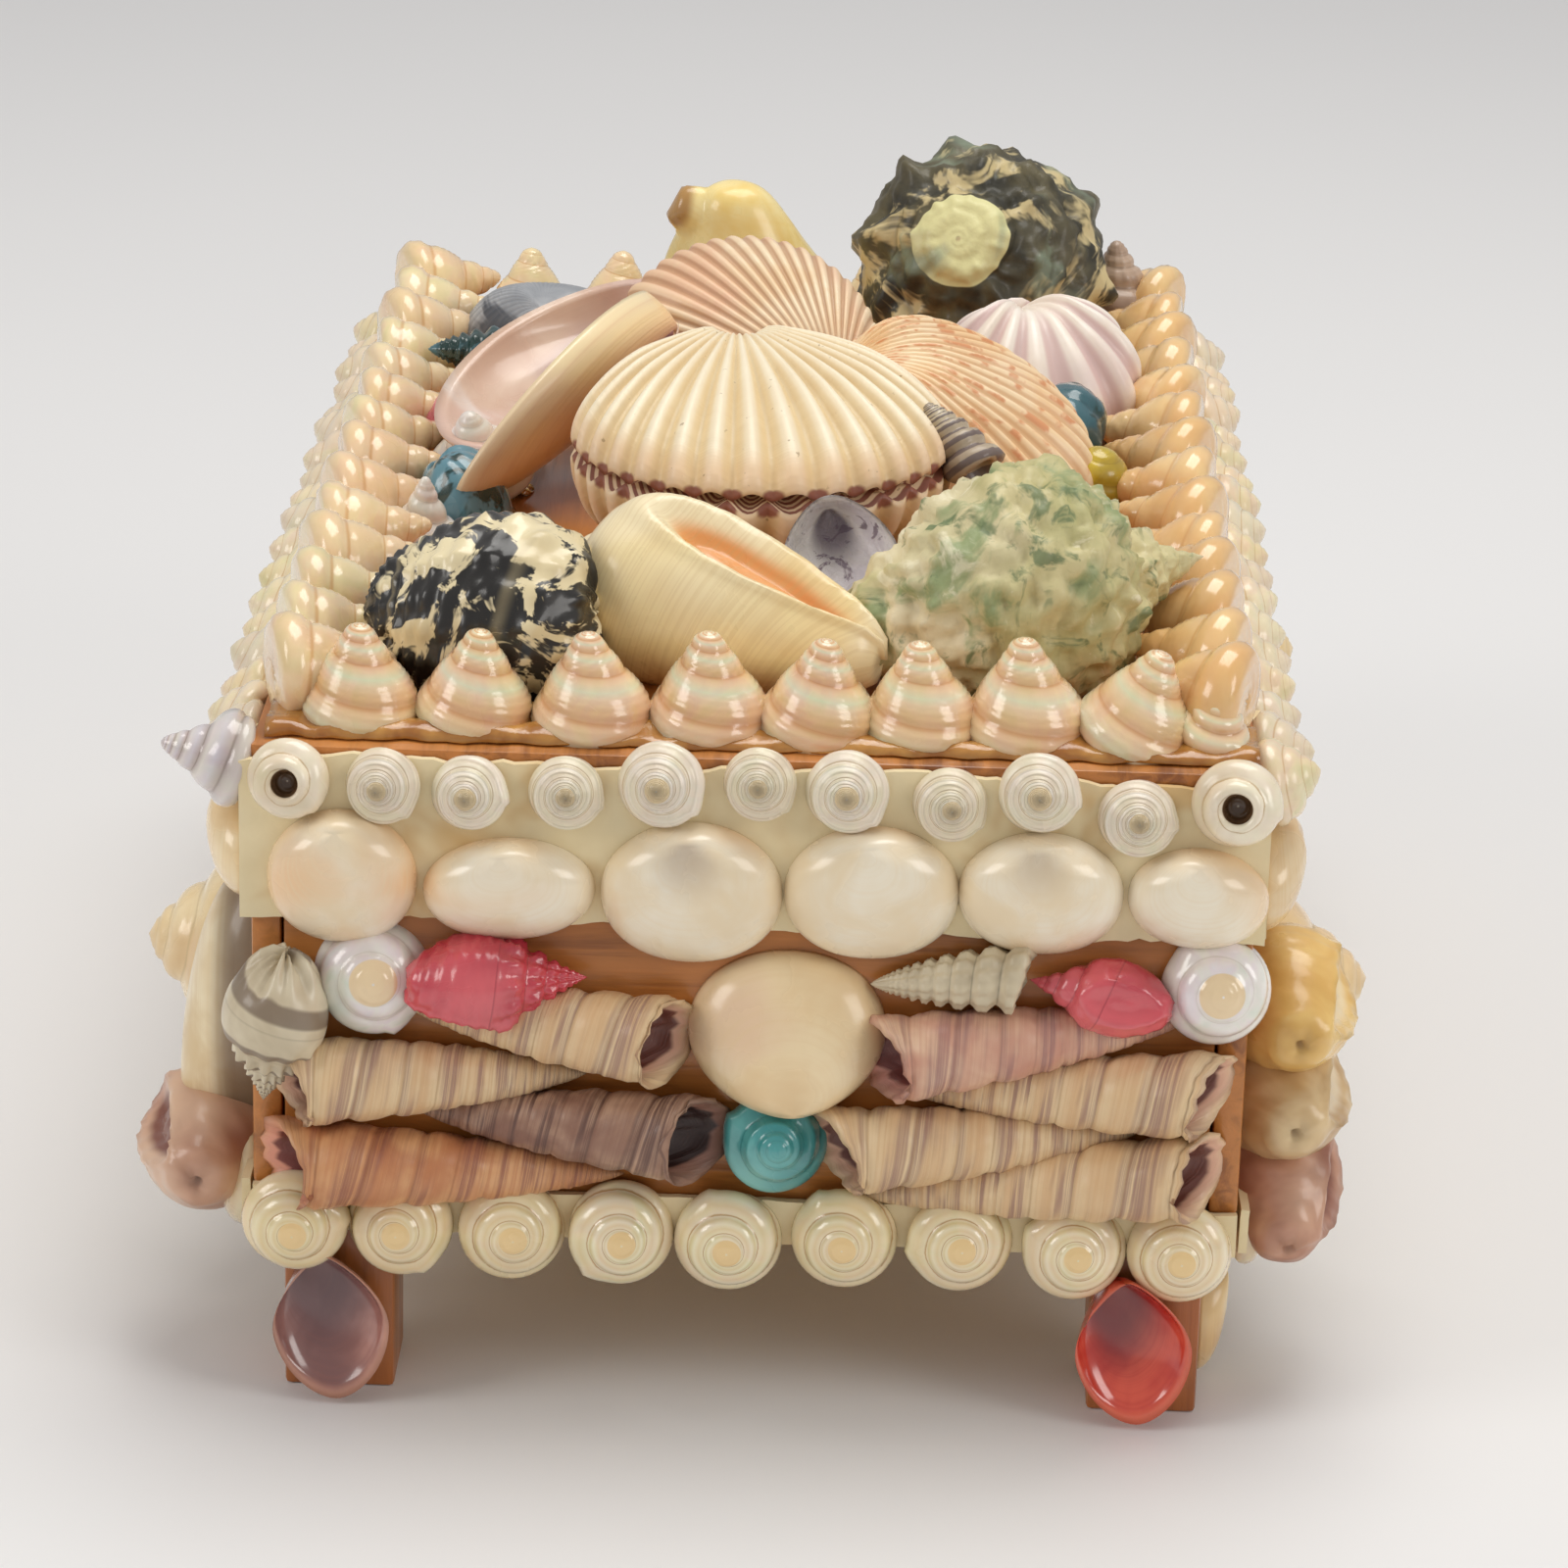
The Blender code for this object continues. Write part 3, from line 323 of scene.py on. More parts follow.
def smooth_profile(points, radius, height, count):
    """Places along a curve through (radius, height) shares, denser where whorls are small."""
    ends = [points[0]] + list(points) + [points[-1]]
    dense = []
    for a, b, c, d in zip(ends, ends[1:], ends[2:], ends[3:]):
        for step in range(24):
            t = step / 24
            spot = []
            for axis, size in ((0, radius), (1, height)):
                p0, p1, p2, p3 = a[axis], b[axis], c[axis], d[axis]
                value = 0.5 * (2 * p1 + (p2 - p0) * t + (2 * p0 - 5 * p1 + 4 * p2 - p3) * t * t
                               + (3 * p1 - p0 - 3 * p2 + p3) * t ** 3)
                spot.append(value * size)
            dense.append(Vector(spot))
    dense.append(Vector((points[-1][0] * radius, points[-1][1] * height)))
    reach = [0.0]
    for before, here in zip(dense, dense[1:]):
        reach.append(reach[-1] + (here - before).length)
    total = reach[-1]
    places, at = [], 0
    for order in range(1, count):
        share = 0.012 + 0.988 * (order / count) ** 1.45
        while reach[at + 1] < share * total:
            at += 1
        step = (share * total - reach[at]) / (reach[at + 1] - reach[at])
        spot = dense[at].lerp(dense[at + 1], step)
        along = dense[at + 1] - dense[at]
        places.append((share, spot, Vector((-along.y, along.x)).normalized()))
    return places, total


def spiral(name, profile, radius, height, growth=1.5, seam=0.62, bulge=0.3, flare=0.1,
           relief=None, mouth=None, ragged=0.0, slant=0.0, inner=9.0, worn=0.0, around=36, along=34):
    """One spiral shell, its base at the origin and its spire up.

    The whorls follow a growth spiral: each whorl is larger than the one above it by growth, and
    the last seam meets the lip at the share called seam of the way from the tip to the base.
    relief gives ridges and knobs as shares of the radius; mouth is the dent of the opening;
    slant cuts the open end at an angle; inner and worn give the shares past and before which the
    surface is marked as inside.
    """
    radius, height = radius * MM, height * MM
    places, total = smooth_profile(profile, radius, height, along)
    rings = [[Vector((0, 0, profile[0][1] * height))]]
    wounds, marks = [[(0.0, 0.0)]], [[0.0]]

    def bulging(whorl):
        across = whorl % 1.0 if whorl < 0 else min(whorl, 0.5)
        return math.sin(math.pi * across) ** 0.7 - 0.45, across

    for share, spot, out in places:
        points, winds, shades = [], [], []
        whorl_height = share * total * (1 - 1 / growth)
        for column in range(around + 1):
            turn = column / around
            whorl = math.log(share / seam) / math.log(growth) + 1 - turn
            swell, across = bulging(whorl)
            if whorl > 0:
                lip = max(0.0, 1 - turn / 0.07) if turn < 0.5 else 0.0
                swell = swell * (1 - lip) + bulging(whorl - 1)[0] * lip
                open_out = flare * (turn * (1 - lip) + lip - 0.5) * min(1.0, whorl * 3)
            else:
                open_out = 0.0
            rise = bulge * swell * whorl_height
            angle = math.tau * turn
            if relief:
                spot_at = Vector((math.cos(angle) * spot.x, math.sin(angle) * spot.x, spot.y)) / radius
                fade = min(1.0, share * 4)
                rise += relief(turn, across if whorl < 0 else whorl, share, spot_at) * radius * fade
            shade = 1.0 if share < worn else max(0.0, min(1.0, (share - inner) * 14 + 0.5))
            if mouth:
                reach = math.hypot((share - mouth[0]) / mouth[2], (turn - mouth[1]) / mouth[3])
                shade = max(0.0, min(1.0, (1.15 - reach) * 2.2))
                rise -= mouth[4] * radius * shade
                lip_rise = 0.07 if mouth[4] > 0 else 0.0
                rise += lip_rise * radius * math.exp(-((reach - 1.25) / 0.16) ** 2)
            wide = max(0.0, spot.x * (1 + open_out) + out.x * rise)
            level = spot.y + out.y * rise
            level += slant * radius * (0.5 - 0.5 * math.cos(angle)) * max(0.0,
                                                                          min(1.0, (share - 0.6) * 5)) ** 2
            if ragged and share > 0.70:
                torn = noise.noise((3 * math.cos(angle), 3 * math.sin(angle), radius * 900))
                level += ragged * MM * torn * min(1.0, (share - 0.70) * 8)
            winds.append((turn, whorl))
            if column < around:
                points.append(Vector((wide * math.cos(angle), wide * math.sin(angle), level)))
                shades.append(shade)
        rings.append(points)
        wounds.append(winds)
        marks.append(shades)
    rings.append([Vector((0, 0, profile[-1][1] * height))])
    wounds.append([(0.0, 1.0)])
    marks.append([1.0 if inner < 1 else 0.0])
    return woven(name, rings, wounds, marks)


def valve(name, width, length, bulge, beak=(0.0, -0.42), ribs=0, rib_rise=0.0, wall=0.0,
          square=2.0, narrow=0.0, around=72, along=18, curl=0.8, roll=0.4):
    """One valve, bulging along Z, its beak towards -Y; with a wall it is hollow underneath."""
    width, length, bulge, wall = width * MM, length * MM, bulge * MM, wall * MM
    if ribs:
        around = ribs * 8
    rim = []
    for column in range(around):
        angle = math.tau * (column + 0.5) / around - math.pi / 2
        c, s = math.cos(angle), math.sin(angle)
        x = width / 2 * math.copysign(abs(c) ** (2 / square), c)
        y = length / 2 * math.copysign(abs(s) ** (2 / square), s)
        if y < 0:
            x *= 1 - narrow * (y / (length / 2)) ** 2
        rim.append(Vector((x, y, 0)))
    top = Vector((beak[0] * width, beak[1] * length, 0))

    def crest(column):
        return (0.5 + 0.5 * math.cos(math.tau * column * ribs / around)) ** 0.7 if ribs else 0.0

    def raw_hump(share):
        rise = 1 - (1 - curl) * max(0.0, 1 - share / roll) ** 2
        return math.sqrt(max(0.0, 1 - share ** 2.4)) * rise

    highest = max(raw_hump(step / 40) for step in range(41))
    umbo = raw_hump(0) / highest

    def ring(share, inset, depth):
        points = []
        for column, point in enumerate(rim):
            forward = max(0.0, min(1.0, ((point - top).normalized().y + 0.15) / 0.85))
            forward *= forward * (3 - 2 * forward)
            arch = raw_hump(share) / highest * forward + umbo * math.sqrt(1 - share ** 2.4) * (1 - forward)
            rise = max(0.0, bulge * arch - (wall if inset else 0.0))
            spot = top.lerp(point, share)
            away = (spot - top).normalized() if share > 0 else Vector((0, 0, 0))
            spot = spot - away * inset * share
            ridge = rib_rise * MM * crest(column) * min(1.0, share * 1.6) * depth
            spot += away * ridge * 0.6 * share
            points.append(Vector((spot.x, spot.y, rise + ridge * 0.8)))
        return points

    rings = [[Vector((top.x, top.y, bulge * umbo))]]
    wounds, marks = [[(0.0, 0.0)]], [[0.0]]
    columns = [column / around * max(1, ribs) for column in range(around + 1)]
    for order in range(1, along + 1):
        share = math.sin(order / along * math.pi / 2)
        rings.append(ring(share, 0.0, 1.0))
        wounds.append([(u, share) for u in columns])
        marks.append([0.0] * around)
    if wall:
        for order in range(along, 0, -1):
            share = math.sin(order / along * math.pi / 2) * (1 - wall / width)
            rings.append(ring(share, wall * 0.5, 0.6))
            wounds.append([(u, share) for u in columns])
            marks.append([1.0] * around)
        rings.append([Vector((top.x, top.y, bulge * umbo - wall))])
        wounds.append([(0.0, 0.0)])
        marks.append([1.0])
    else:
        rings.append([Vector((0, 0, 0))])
        wounds.append([(0.0, 1.0)])
        marks.append([0.0])
    return woven(name, rings, wounds, marks)


def copy_of(mesh, matrix, tint=None):
    """A copy of a shell in its place, with a tint of its own."""
    item = mesh.copy()
    item.transform(matrix)
    tints = item.attributes.get("tint") or item.attributes.new("tint", "FLOAT", "POINT")
    value = chance.random() if tint is None else tint
    tints.data.foreach_set("value", [value] * len(item.vertices))
    return item


def clear_selection():
    if bpy.context.object and bpy.context.object.mode != "OBJECT":
        bpy.ops.object.mode_set(mode="OBJECT")
    bpy.ops.object.select_all(action="DESELECT")


def piece(name, meshes, finish, slot, *nodes):
    """One piece of the object: meshes joined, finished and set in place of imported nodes."""
    clear_selection()
    items = []
    for mesh in meshes:
        item = bpy.data.objects.new(name, mesh)
        bpy.context.scene.collection.objects.link(item)
        item.select_set(True)
        items.append(item)
    bpy.context.view_layer.objects.active = items[0]
    if len(items) > 1:
        bpy.ops.object.join()
    item = bpy.context.view_layer.objects.active
    item.name = name
    dress(item, finish, slot, *nodes)
    clear_selection()
    return item


def dress(item, finish, slot, *nodes):
    item.data.materials.clear()
    item.data.materials.append(finish.material)
    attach(item, "root")
    if nodes:
        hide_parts(*nodes)


def board(name, node, finish, edge=0.35):
    """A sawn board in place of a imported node, with its edges eased."""
    low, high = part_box(node)
    clear_selection()
    bpy.ops.mesh.primitive_cube_add(size=1.0, location=(low + high) / 2)
    item = bpy.context.object
    item.name = name
    item.scale = high - low
    bpy.ops.object.transform_apply(location=True, rotation=False, scale=True)
    bpy.ops.object.mode_set(mode="EDIT")
    bpy.ops.mesh.select_all(action="SELECT")
    bpy.ops.mesh.bevel(offset=edge * MM, segments=2, affect="EDGES")
    bpy.ops.object.mode_set(mode="OBJECT")
    bpy.ops.object.shade_smooth_by_angle(angle=math.radians(35))
    slot = "pale_wood" if node == "box_floor" else "varnished_wood"
    dress(item, finish, slot, node)
    clear_selection()
    return item


# Finishes of wood, card and glue


def wood_finish(name, along, light, dark, coat=0.35):
    """Varnished softwood, its grain along one axis."""
    look = Finish(name, coat=coat)
    scale = [90.0, 90.0, 90.0]
    scale[along] = 5.0
    grain = look.cloud(1.0, 5.0, 0.6, 0.6, look.stretched([value * 6 for value in scale]))
    rings = look.cloud(1.0, 2.0, 0.5, 1.2, look.stretched([value * 1.2 for value in scale]))
    pools = look.cloud(60.0, 3.0)
    tone = grain.over(0.3, 0.7) * 0.45 + rings.over(0.3, 0.7) * 0.35 + pools.over(0.35, 0.7) * 0.3
    look.set("Base Color", look.ramp(tone, (0.0, dark), (0.5, light), (1.0, [c * 1.25 for c in light])))
    look.set("Roughness", pools.over(0.3, 0.7) * 0.2 + 0.28)
    look.bump(grain, 0.12)
    return look


varnish = srgb(190, 122, 58)
varnish_dark = srgb(122, 66, 26)
wood_x = wood_finish("varnished_wood_across", 0, varnish, varnish_dark)
wood_y = wood_finish("varnished_wood_along", 1, varnish, varnish_dark)
wood_z = wood_finish("varnished_wood_upright", 2, srgb(168, 98, 44), srgb(104, 50, 20))
floor_wood = wood_finish("bare_wood", 1, srgb(222, 188, 138), srgb(186, 146, 96), 0.0)


def make_boards():
    across = ("box_wall_front", "box_wall_back", "lid_rail_front", "lid_rail_back")
    lengthways = ("box_wall_left", "box_wall_right", "lid_rail_left", "lid_rail_right", "lid_board")
    for node in across:
        board(node + "_board", node, wood_x)
    for node in lengthways:
        board(node + "_board", node, wood_y)
    board("box_floor_board", "box_floor", floor_wood)
    for end in ("front", "back"):
        for side in ("left", "right"):
            node = f"leg_{end}_{side}"
            board(node + "_block", node, wood_z, 0.5)


card_look = Finish("cream_card", 0.62)
card_cloud = card_look.cloud(240.0, 4.0)
card_stain = card_look.cloud(50.0, 3.0, 0.6, 0.8)
card_look.set("Base Color", card_look.mix(
    card_stain.over(0.52, 0.72) * 0.75,
    card_look.mix(card_cloud, srgb(242, 228, 190), srgb(230, 210, 164)),
    srgb(206, 164, 98),
))
card_look.bump(card_cloud, 0.15)

glue_look = Finish("amber_glue", 0.16, 0.6, Transmission_Weight=0.25, IOR=1.48)
glue_cloud = glue_look.cloud(180.0, 3.0, 0.5, 0.5)
glue_look.set("Base Color", glue_look.mix(
    glue_cloud.over(0.35, 0.7), srgb(222, 164, 84), srgb(176, 110, 44)))
glue_look.bump(glue_cloud, 0.5)


def card_strip(name, node, side, half_length, low, high, torn=0.5):
    """A strip of card on one side of the box, with uneven cut edges."""
    clear_selection()
    bpy.ops.mesh.primitive_grid_add(x_subdivisions=90, y_subdivisions=6, size=1.0)
    item = bpy.context.object
    item.name = name
    mesh = item.data
    for vert in mesh.vertices:
        u, v = vert.co.x * 2 * half_length, low + (vert.co.y + 0.5) * (high - low)
        edge = 1 if vert.co.y > 0.49 else -1 if vert.co.y < -0.49 else 0
        wander = torn * noise.noise((u * 0.16, edge * 5.0, half_length))
        fibre = 0.35 * torn * noise.noise((u * 1.1, edge * 9.0, half_length))
        v += edge * (wander + fibre)
        lift = 0.25 * noise.noise((u * 0.12, v * 0.2, 3.0)) * (1 if edge else 0.4)
        vert.co = Vector((u, v, -0.1 + max(-0.15, lift))) * MM
    modifier = item.modifiers.new("thickness", "SOLIDIFY")
    modifier.thickness = CARD_SHEET * MM
    modifier.offset = -1
    bpy.ops.object.modifier_apply(modifier=modifier.name)
    mesh.transform(face(side, CARD))
    item.matrix_world = Matrix.Identity(4)
    shape = bmesh.new()
    shape.from_mesh(mesh)
    bmesh.ops.recalc_face_normals(shape, faces=shape.faces)
    shape.to_mesh(mesh)
    shape.free()
    dress(item, card_look, "shelled_card", node)
    clear_selection()
    return item


def glue_run(name, low, high, node, rise=1.5):
    """Set glue along a row on the lid: a low run with rounded, uneven edges."""
    clear_selection()
    long_axis = 0 if high[0] - low[0] > high[1] - low[1] else 1
    counts = (120, 10) if long_axis == 0 else (10, 160)
    bpy.ops.mesh.primitive_grid_add(x_subdivisions=counts[0], y_subdivisions=counts[1], size=1.0)
    item = bpy.context.object
    item.name = name
    for vert in item.data.vertices:
        x = low[0] + (vert.co.x + 0.5) * (high[0] - low[0])
        y = low[1] + (vert.co.y + 0.5) * (high[1] - low[1])
        across = (vert.co.y if long_axis == 0 else vert.co.x) * 2
        along = x if long_axis == 0 else y
        side = 0.9 * noise.noise((along * 0.35, across * 2, 1.0)) * abs(across)
        hump = math.sqrt(max(0.0, 1 - across ** 4))
        height = rise * hump * (0.8 + 0.7 * noise.noise((x * 0.3, y * 0.3, 4.0)))
        if long_axis == 0:
            y += side
        else:
            x += side
        vert.co = millimetres(x, y, GLUE_LEVEL + max(GLUE_SKIN, height) - GLUE_SKIN)
    modifier = item.modifiers.new("depth", "SOLIDIFY")
    modifier.thickness = 0.25 * MM
    modifier.offset = -1
    bpy.ops.object.modifier_apply(modifier=modifier.name)
    item.matrix_world = Matrix.Identity(4)
    bpy.ops.object.shade_smooth()
    dress(item, glue_look, "amber_shell", node)
    clear_selection()
    return item


# Finishes of shells


def shell_finish(name, pale, deep, *, blush=None, bands=(), seam_dark=0.5, streak=0.0, cords=(0, 0.0),
                 spots=None, pearl=0.0, inside=None, rough=0.32, coat=0.3, grain=0.1, lines=0.0,
                 tinted=0.0, tint_to=None, seam_colour=None, hollow=None):
    """Finish of a shell.

    pale and deep are its two ground colours; bands lays colours across a whorl; streak runs
    growth lines along the spiral; spots are blotches; pearl adds soft green and pink; tinted
    moves each copy by its own share towards tint_to; inside colours its opening, and hollow is
    painted shade that darkens the deepest part of the opening.
    """
    look = Finish(name, rough, coat)
    turns, across = look.wound()
    soft = look.cloud(130.0, 3.0, 0.55, 0.4)
    colour = look.mix(soft.over(0.32, 0.68), pale, deep)
    if bands:
        stops = look.ramp(across, *bands)
        colour = look.mix(0.75, colour, stops)
    if streak:
        level = turns.maths("FLOOR") + across
        fine = look.cloud(1.0, 3.0, 0.7, 0.0, look.vector(level * 9.0, turns * 0.5))
        broad = look.cloud(1.0, 2.0, 0.5, 0.3, look.vector(level * 1.3, turns * 1.1, 3.0))
        colour = look.mix(fine.over(0.42, 0.66) * 0.55, colour, deep)
        colour = look.mix(broad.over(0.46, 0.62) * fine.over(0.3, 0.55) * streak, colour, blush or deep)
    elif blush:
        patch = look.cloud(45.0, 2.0, 0.5, 0.5)
        colour = look.mix(patch.over(0.45, 0.68), colour, blush)
    if lines:
        rings = look.cloud(1.0, 3.0, 0.6, 0.1, look.vector(0.3, across * 24.0))
        colour = look.mix(rings.over(0.45, 0.7) * lines, colour, deep)
    if spots:
        scale, low, high, spot_colour = spots
        blotch = look.cloud(scale, 4.0, 0.62, 1.1)
        colour = look.mix(blotch.over(low, high), colour, spot_colour)
    if pearl:
        play = look.cloud(170.0, 2.0, 0.5, 1.5)
        tints = look.ramp(
            play, (0.3, srgb(196, 226, 190)), (0.47, srgb(244, 238, 224)), (0.6, srgb(236, 206, 226)),
            (0.72, srgb(214, 222, 240)))
        colour = look.mix(pearl, colour, tints)
    if tint_to:
        colour = look.mix(look.mark("tint").over(0.0, 1.0) * tinted, colour, tint_to)
    if seam_dark:
        seam = (across.over(0.0, 0.07) * (1.0 - across.over(0.95, 1.0)) * -1.0 + 1.0) * seam_dark
        within = (1.0 - across.over(1.0, 1.02)) * (1.0 - look.young())
        colour = look.mix(seam * within, colour, seam_colour or [value * 0.7 for value in deep])
    if inside:
        colour = look.mix(look.mark("inside").over(0.25, 0.75), colour, inside)
    # Painted shade: the deepest part of the opening is darkened with the hollow colour.
    if hollow:
        colour = look.mix(look.mark("inside").over(0.78, 1.0), colour, hollow)
    look.set("Base Color", colour)
    height = look.cloud(700.0, 3.0) * grain
    if cords[0]:
        height = height + (across * (math.tau * cords[0])).sine() * cords[1]
    if streak:
        height = height + fine * 0.5
    look.bump(height, 0.3)
    look.set("Roughness", soft.over(0.3, 0.7) * 0.15 + (rough - 0.06))
    return look


TOP_PROFILE = (
    (0, 1), (0.13, 0.96), (0.28, 0.82), (0.46, 0.63), (0.68, 0.44), (0.91, 0.28), (1.0, 0.17),
    (0.97, 0.06), (0.82, 0.0), (0.4, 0.0), (0, 0.02))
CONE_PROFILE = (
    (0, 1), (0.2, 0.95), (0.34, 0.82), (0.56, 0.62), (0.82, 0.4), (1.0, 0.2), (0.98, 0.06), (0.86, 0.0),
    (0.4, 0.0), (0, 0.02))
DISC_PROFILE = (
    (0, 1), (0.2, 0.92), (0.45, 0.74), (0.72, 0.52), (0.95, 0.3), (1.0, 0.16), (0.95, 0.04), (0.8, 0.0),
    (0.4, 0.0), (0, 0.0))
BUTTON_PROFILE = (
    (0, 1), (0.22, 0.96), (0.48, 0.82), (0.74, 0.6), (0.94, 0.34), (1.0, 0.16), (0.95, 0.04), (0.8, 0.0),
    (0.4, 0.0), (0, 0.0))
AUGER_PROFILE = (
    (0, 1), (0.12, 0.965), (0.27, 0.90), (0.50, 0.76), (0.70, 0.59), (0.84, 0.42), (0.95, 0.2),
    (1.0, 0.0), (0.90, -0.003), (0.83, 0.04), (0.74, 0.12), (0.4, 0.19), (0, 0.2))
OVAL_PROFILE = (
    (0, 1), (0.14, 0.92), (0.36, 0.80), (0.62, 0.68), (0.9, 0.56), (1.0, 0.42), (0.92, 0.26),
    (0.66, 0.12), (0.4, 0.03), (0.3, 0.0), (0, 0.02))
WHELK_PROFILE = (
    (0, 1), (0.18, 0.88), (0.44, 0.76), (0.8, 0.66), (1.0, 0.54), (0.98, 0.4), (0.78, 0.24), (0.46, 0.1),
    (0.27, 0.02), (0.2, 0.0), (0, 0.0))


def fine_ridges(count, depth):
    """Ridges that run along the whorls."""
    def relief(turn, across, share, spot):
        return depth * math.cos(math.tau * count * across)
    return relief


def thread_lines(turn, across, share, spot):
    """Fine threads that run round the whorls, and a slight wander."""
    thread = noise.noise((share ** 0.7 * 70, turn * 1.6, 0.5)) * 0.035
    return thread + 0.04 * noise.noise(spot * 2.5)


def make_lid_front():
    """Card band of the lid front with eleven top shells over six clams."""
    look = shell_finish("white_top_shell", srgb(244, 232, 206), srgb(232, 214, 178), pearl=0.15,
                        bands=((0.0, srgb(248, 238, 216)), (0.3, srgb(232, 218, 186)),
                               (0.55, srgb(250, 244, 230)), (0.8, srgb(216, 202, 168)),
                               (1.0, srgb(246, 236, 216))),
                        cords=(3, 0.2), coat=0.5, rough=0.24, seam_dark=0.8,
                        tinted=0.5, tint_to=srgb(222, 202, 164), seam_colour=srgb(196, 166, 118),
                        inside=srgb(238, 214, 170))
    broken = spiral("broken_coil", ((0, 0.3), (0.28, 0.4), (0.46, 0.84), (0.74, 0.62), (0.95, 0.34), (1,
                                                                                                      0.16),
                                    (0.95, 0.04), (0.6, 0), (0, 0)), 3.9, 4.4, 1.8, 0.66, 0.3, 0.12,
                    worn=0.24, around=48, along=40)
    # The broken tip is marked as inside and painted dark brown, as painted shade in its hole.
    broken_look = shell_finish(
        "broken_top_shell", srgb(244, 232, 206), srgb(226, 208, 172), pearl=0.1, coat=0.5, rough=0.26,
        seam_dark=0.8, seam_colour=srgb(190, 156, 106), inside=srgb(104, 76, 50))
    discs = [spiral("disc", DISC_PROFILE, 3.95, 4.7, 1.8, 0.62, 0.22, 0.14,
                    fine_ridges(4, 0.012), worn=0.14, around=48, along=40),
             spiral("disc", DISC_PROFILE, 3.75, 4.4, 1.7, 0.64, 0.24, 0.12,
                    fine_ridges(3, 0.014), worn=0.12, around=48, along=40)]
    spots = (
        (-47.1, 67.3), (-37.6, 67.0), (-28.7, 66.5), (-19.1, 66.8), (-9.3, 68.0), (0.5, 68.4),
        (9.4, 67.9), (19.7, 66.9), (28.8, 68.4), (38.7, 66.0), (48.8, 67.9))
    where = face("front", CARD)
    shells, chipped = [], []
    for order, (u, v) in enumerate(spots):
        mesh = broken if order in (0, 10) else discs[order % 2]
        size = 0.94 + 0.14 * chance.random()
        tip = (0.12 * chance.uniform(-1, 1), 0.1 + 0.1 * chance.random(), 1)
        spot = stand(millimetres(u, v + 1.0, -0.2), tip, (0, 1, 0), 220 + 50 * chance.random())
        row = chipped if mesh is broken else shells
        row.append(copy_of(mesh, where @ spot @ Matrix.Scale(size, 4)))
    piece("lid_front_top_shells", shells, look, "shelled_card", "lid_band_front")
    piece("lid_front_chipped_shells", chipped, broken_look, "shelled_card", "lid_band_front")
    clam_look = shell_finish(
        "ivory_clam", srgb(248, 238, 216), srgb(240, 220, 184), lines=0.3, seam_dark=0.0,
        blush=srgb(242, 200, 152), coat=0.5, rough=0.25, grain=0.02)
    umbo = (1.0 - clam_look.across().over(0.05, 0.5)) * clam_look.mark("tint")
    clam_look.paint(umbo * 0.6, srgb(176, 158, 140))
    clams = (
        (-41.8, 57.4, 15.3, 14.4, 0.0), (-24.8, 56.6, 17.6, 11.0, 0.2), (-6.2, 56.8, 18.6, 15.2, 0.0),
        (12.1, 57.4, 17.9, 14.4, 0.1), (29.3, 57.9, 16.9, 13.2, 0.0), (45.3, 57.9, 14.4, 10.8, -0.2))
    valves = []
    for order, (u, v, width, height, tilt) in enumerate(clams):
        mesh = valve("clam", width, height, 4.6, (0.03, -0.40), square=2.15, narrow=0.1)
        spot = facing(millimetres(u, v + 0.7, -0.3), (tilt * 0.3, -1, 0), (0, 0, 1))
        grey = (0.0, 0.1, 1.0, 0.0, 0.7, 0.0)[order]
        valves.append(copy_of(mesh, where @ spot, grey))
    piece("lid_front_clams", valves, clam_look, "shelled_card", "lid_band_front")
    card_strip("lid_front_card", "lid_band_front", "front", 52.3, 53.6, 70.6, 0.9)


def make_bottom_row():
    """A row of top shells round the foot of the box, on a strip of card."""
    look = shell_finish("yellow_top_shell", srgb(246, 230, 184), srgb(234, 210, 156), pearl=0.15,
                        bands=((0.0, srgb(250, 238, 202)), (0.3, srgb(234, 208, 152)),
                               (0.55, srgb(250, 240, 206)),
                               (0.8, srgb(226, 208, 148)), (1.0, srgb(250, 242, 216))),
                        coat=0.8, rough=0.2, seam_dark=0.9, tinted=0.3, tint_to=srgb(228, 198, 136),
                        seam_colour=srgb(190, 146, 84), inside=srgb(240, 208, 150))
    mesh = spiral(
        "button", BUTTON_PROFILE, 5.35, 5.2, 1.9, 0.62, 0.22, 0.12, worn=0.12, around=40, along=36)
    long_row = [11.3 * (index - 7) for index in range(15)]
    rows = {
        "front": [-46.6, -35.7, -24.2, -13.0, -1.6, 10.5, 22.3, 34.3, 45.4],
        "back": [10.9 * (index - 4) for index in range(9)],
        "left": long_row,
        "right": long_row,
    }
    for side, spots in rows.items():
        where = face(side, CARD)
        shells = []
        for u in spots:
            tip = (0.1 * chance.uniform(-1, 1), 0.12 * chance.random(), 1)
            at = millimetres(u, 19.6 + 0.4 * chance.uniform(-1, 1), -0.4)
            spot = stand(at, tip, (0, 1, 0), 360 * chance.random())
            size = 0.97 + 0.06 * chance.random()
            shells.append(copy_of(mesh, where @ spot @ Matrix.Scale(size, 4)))
        node = "low_row_" + side
        piece("low_top_shells_" + side, shells, look, "shelled_card", node)
        half = 51.2 if side in ("front", "back") else 88.6
        card_strip("edging_" + side, node, side, half, 18.6, 23.4, 0.25)


def auger_mesh(length, radius, kind):
    return spiral("auger", AUGER_PROFILE, radius, length, 1.23, 0.78, 0.10, 0.0, thread_lines,
                  ragged=1.1, slant=1.7 if kind == "brown" else 1.25, inner=0.80, around=48, along=110)


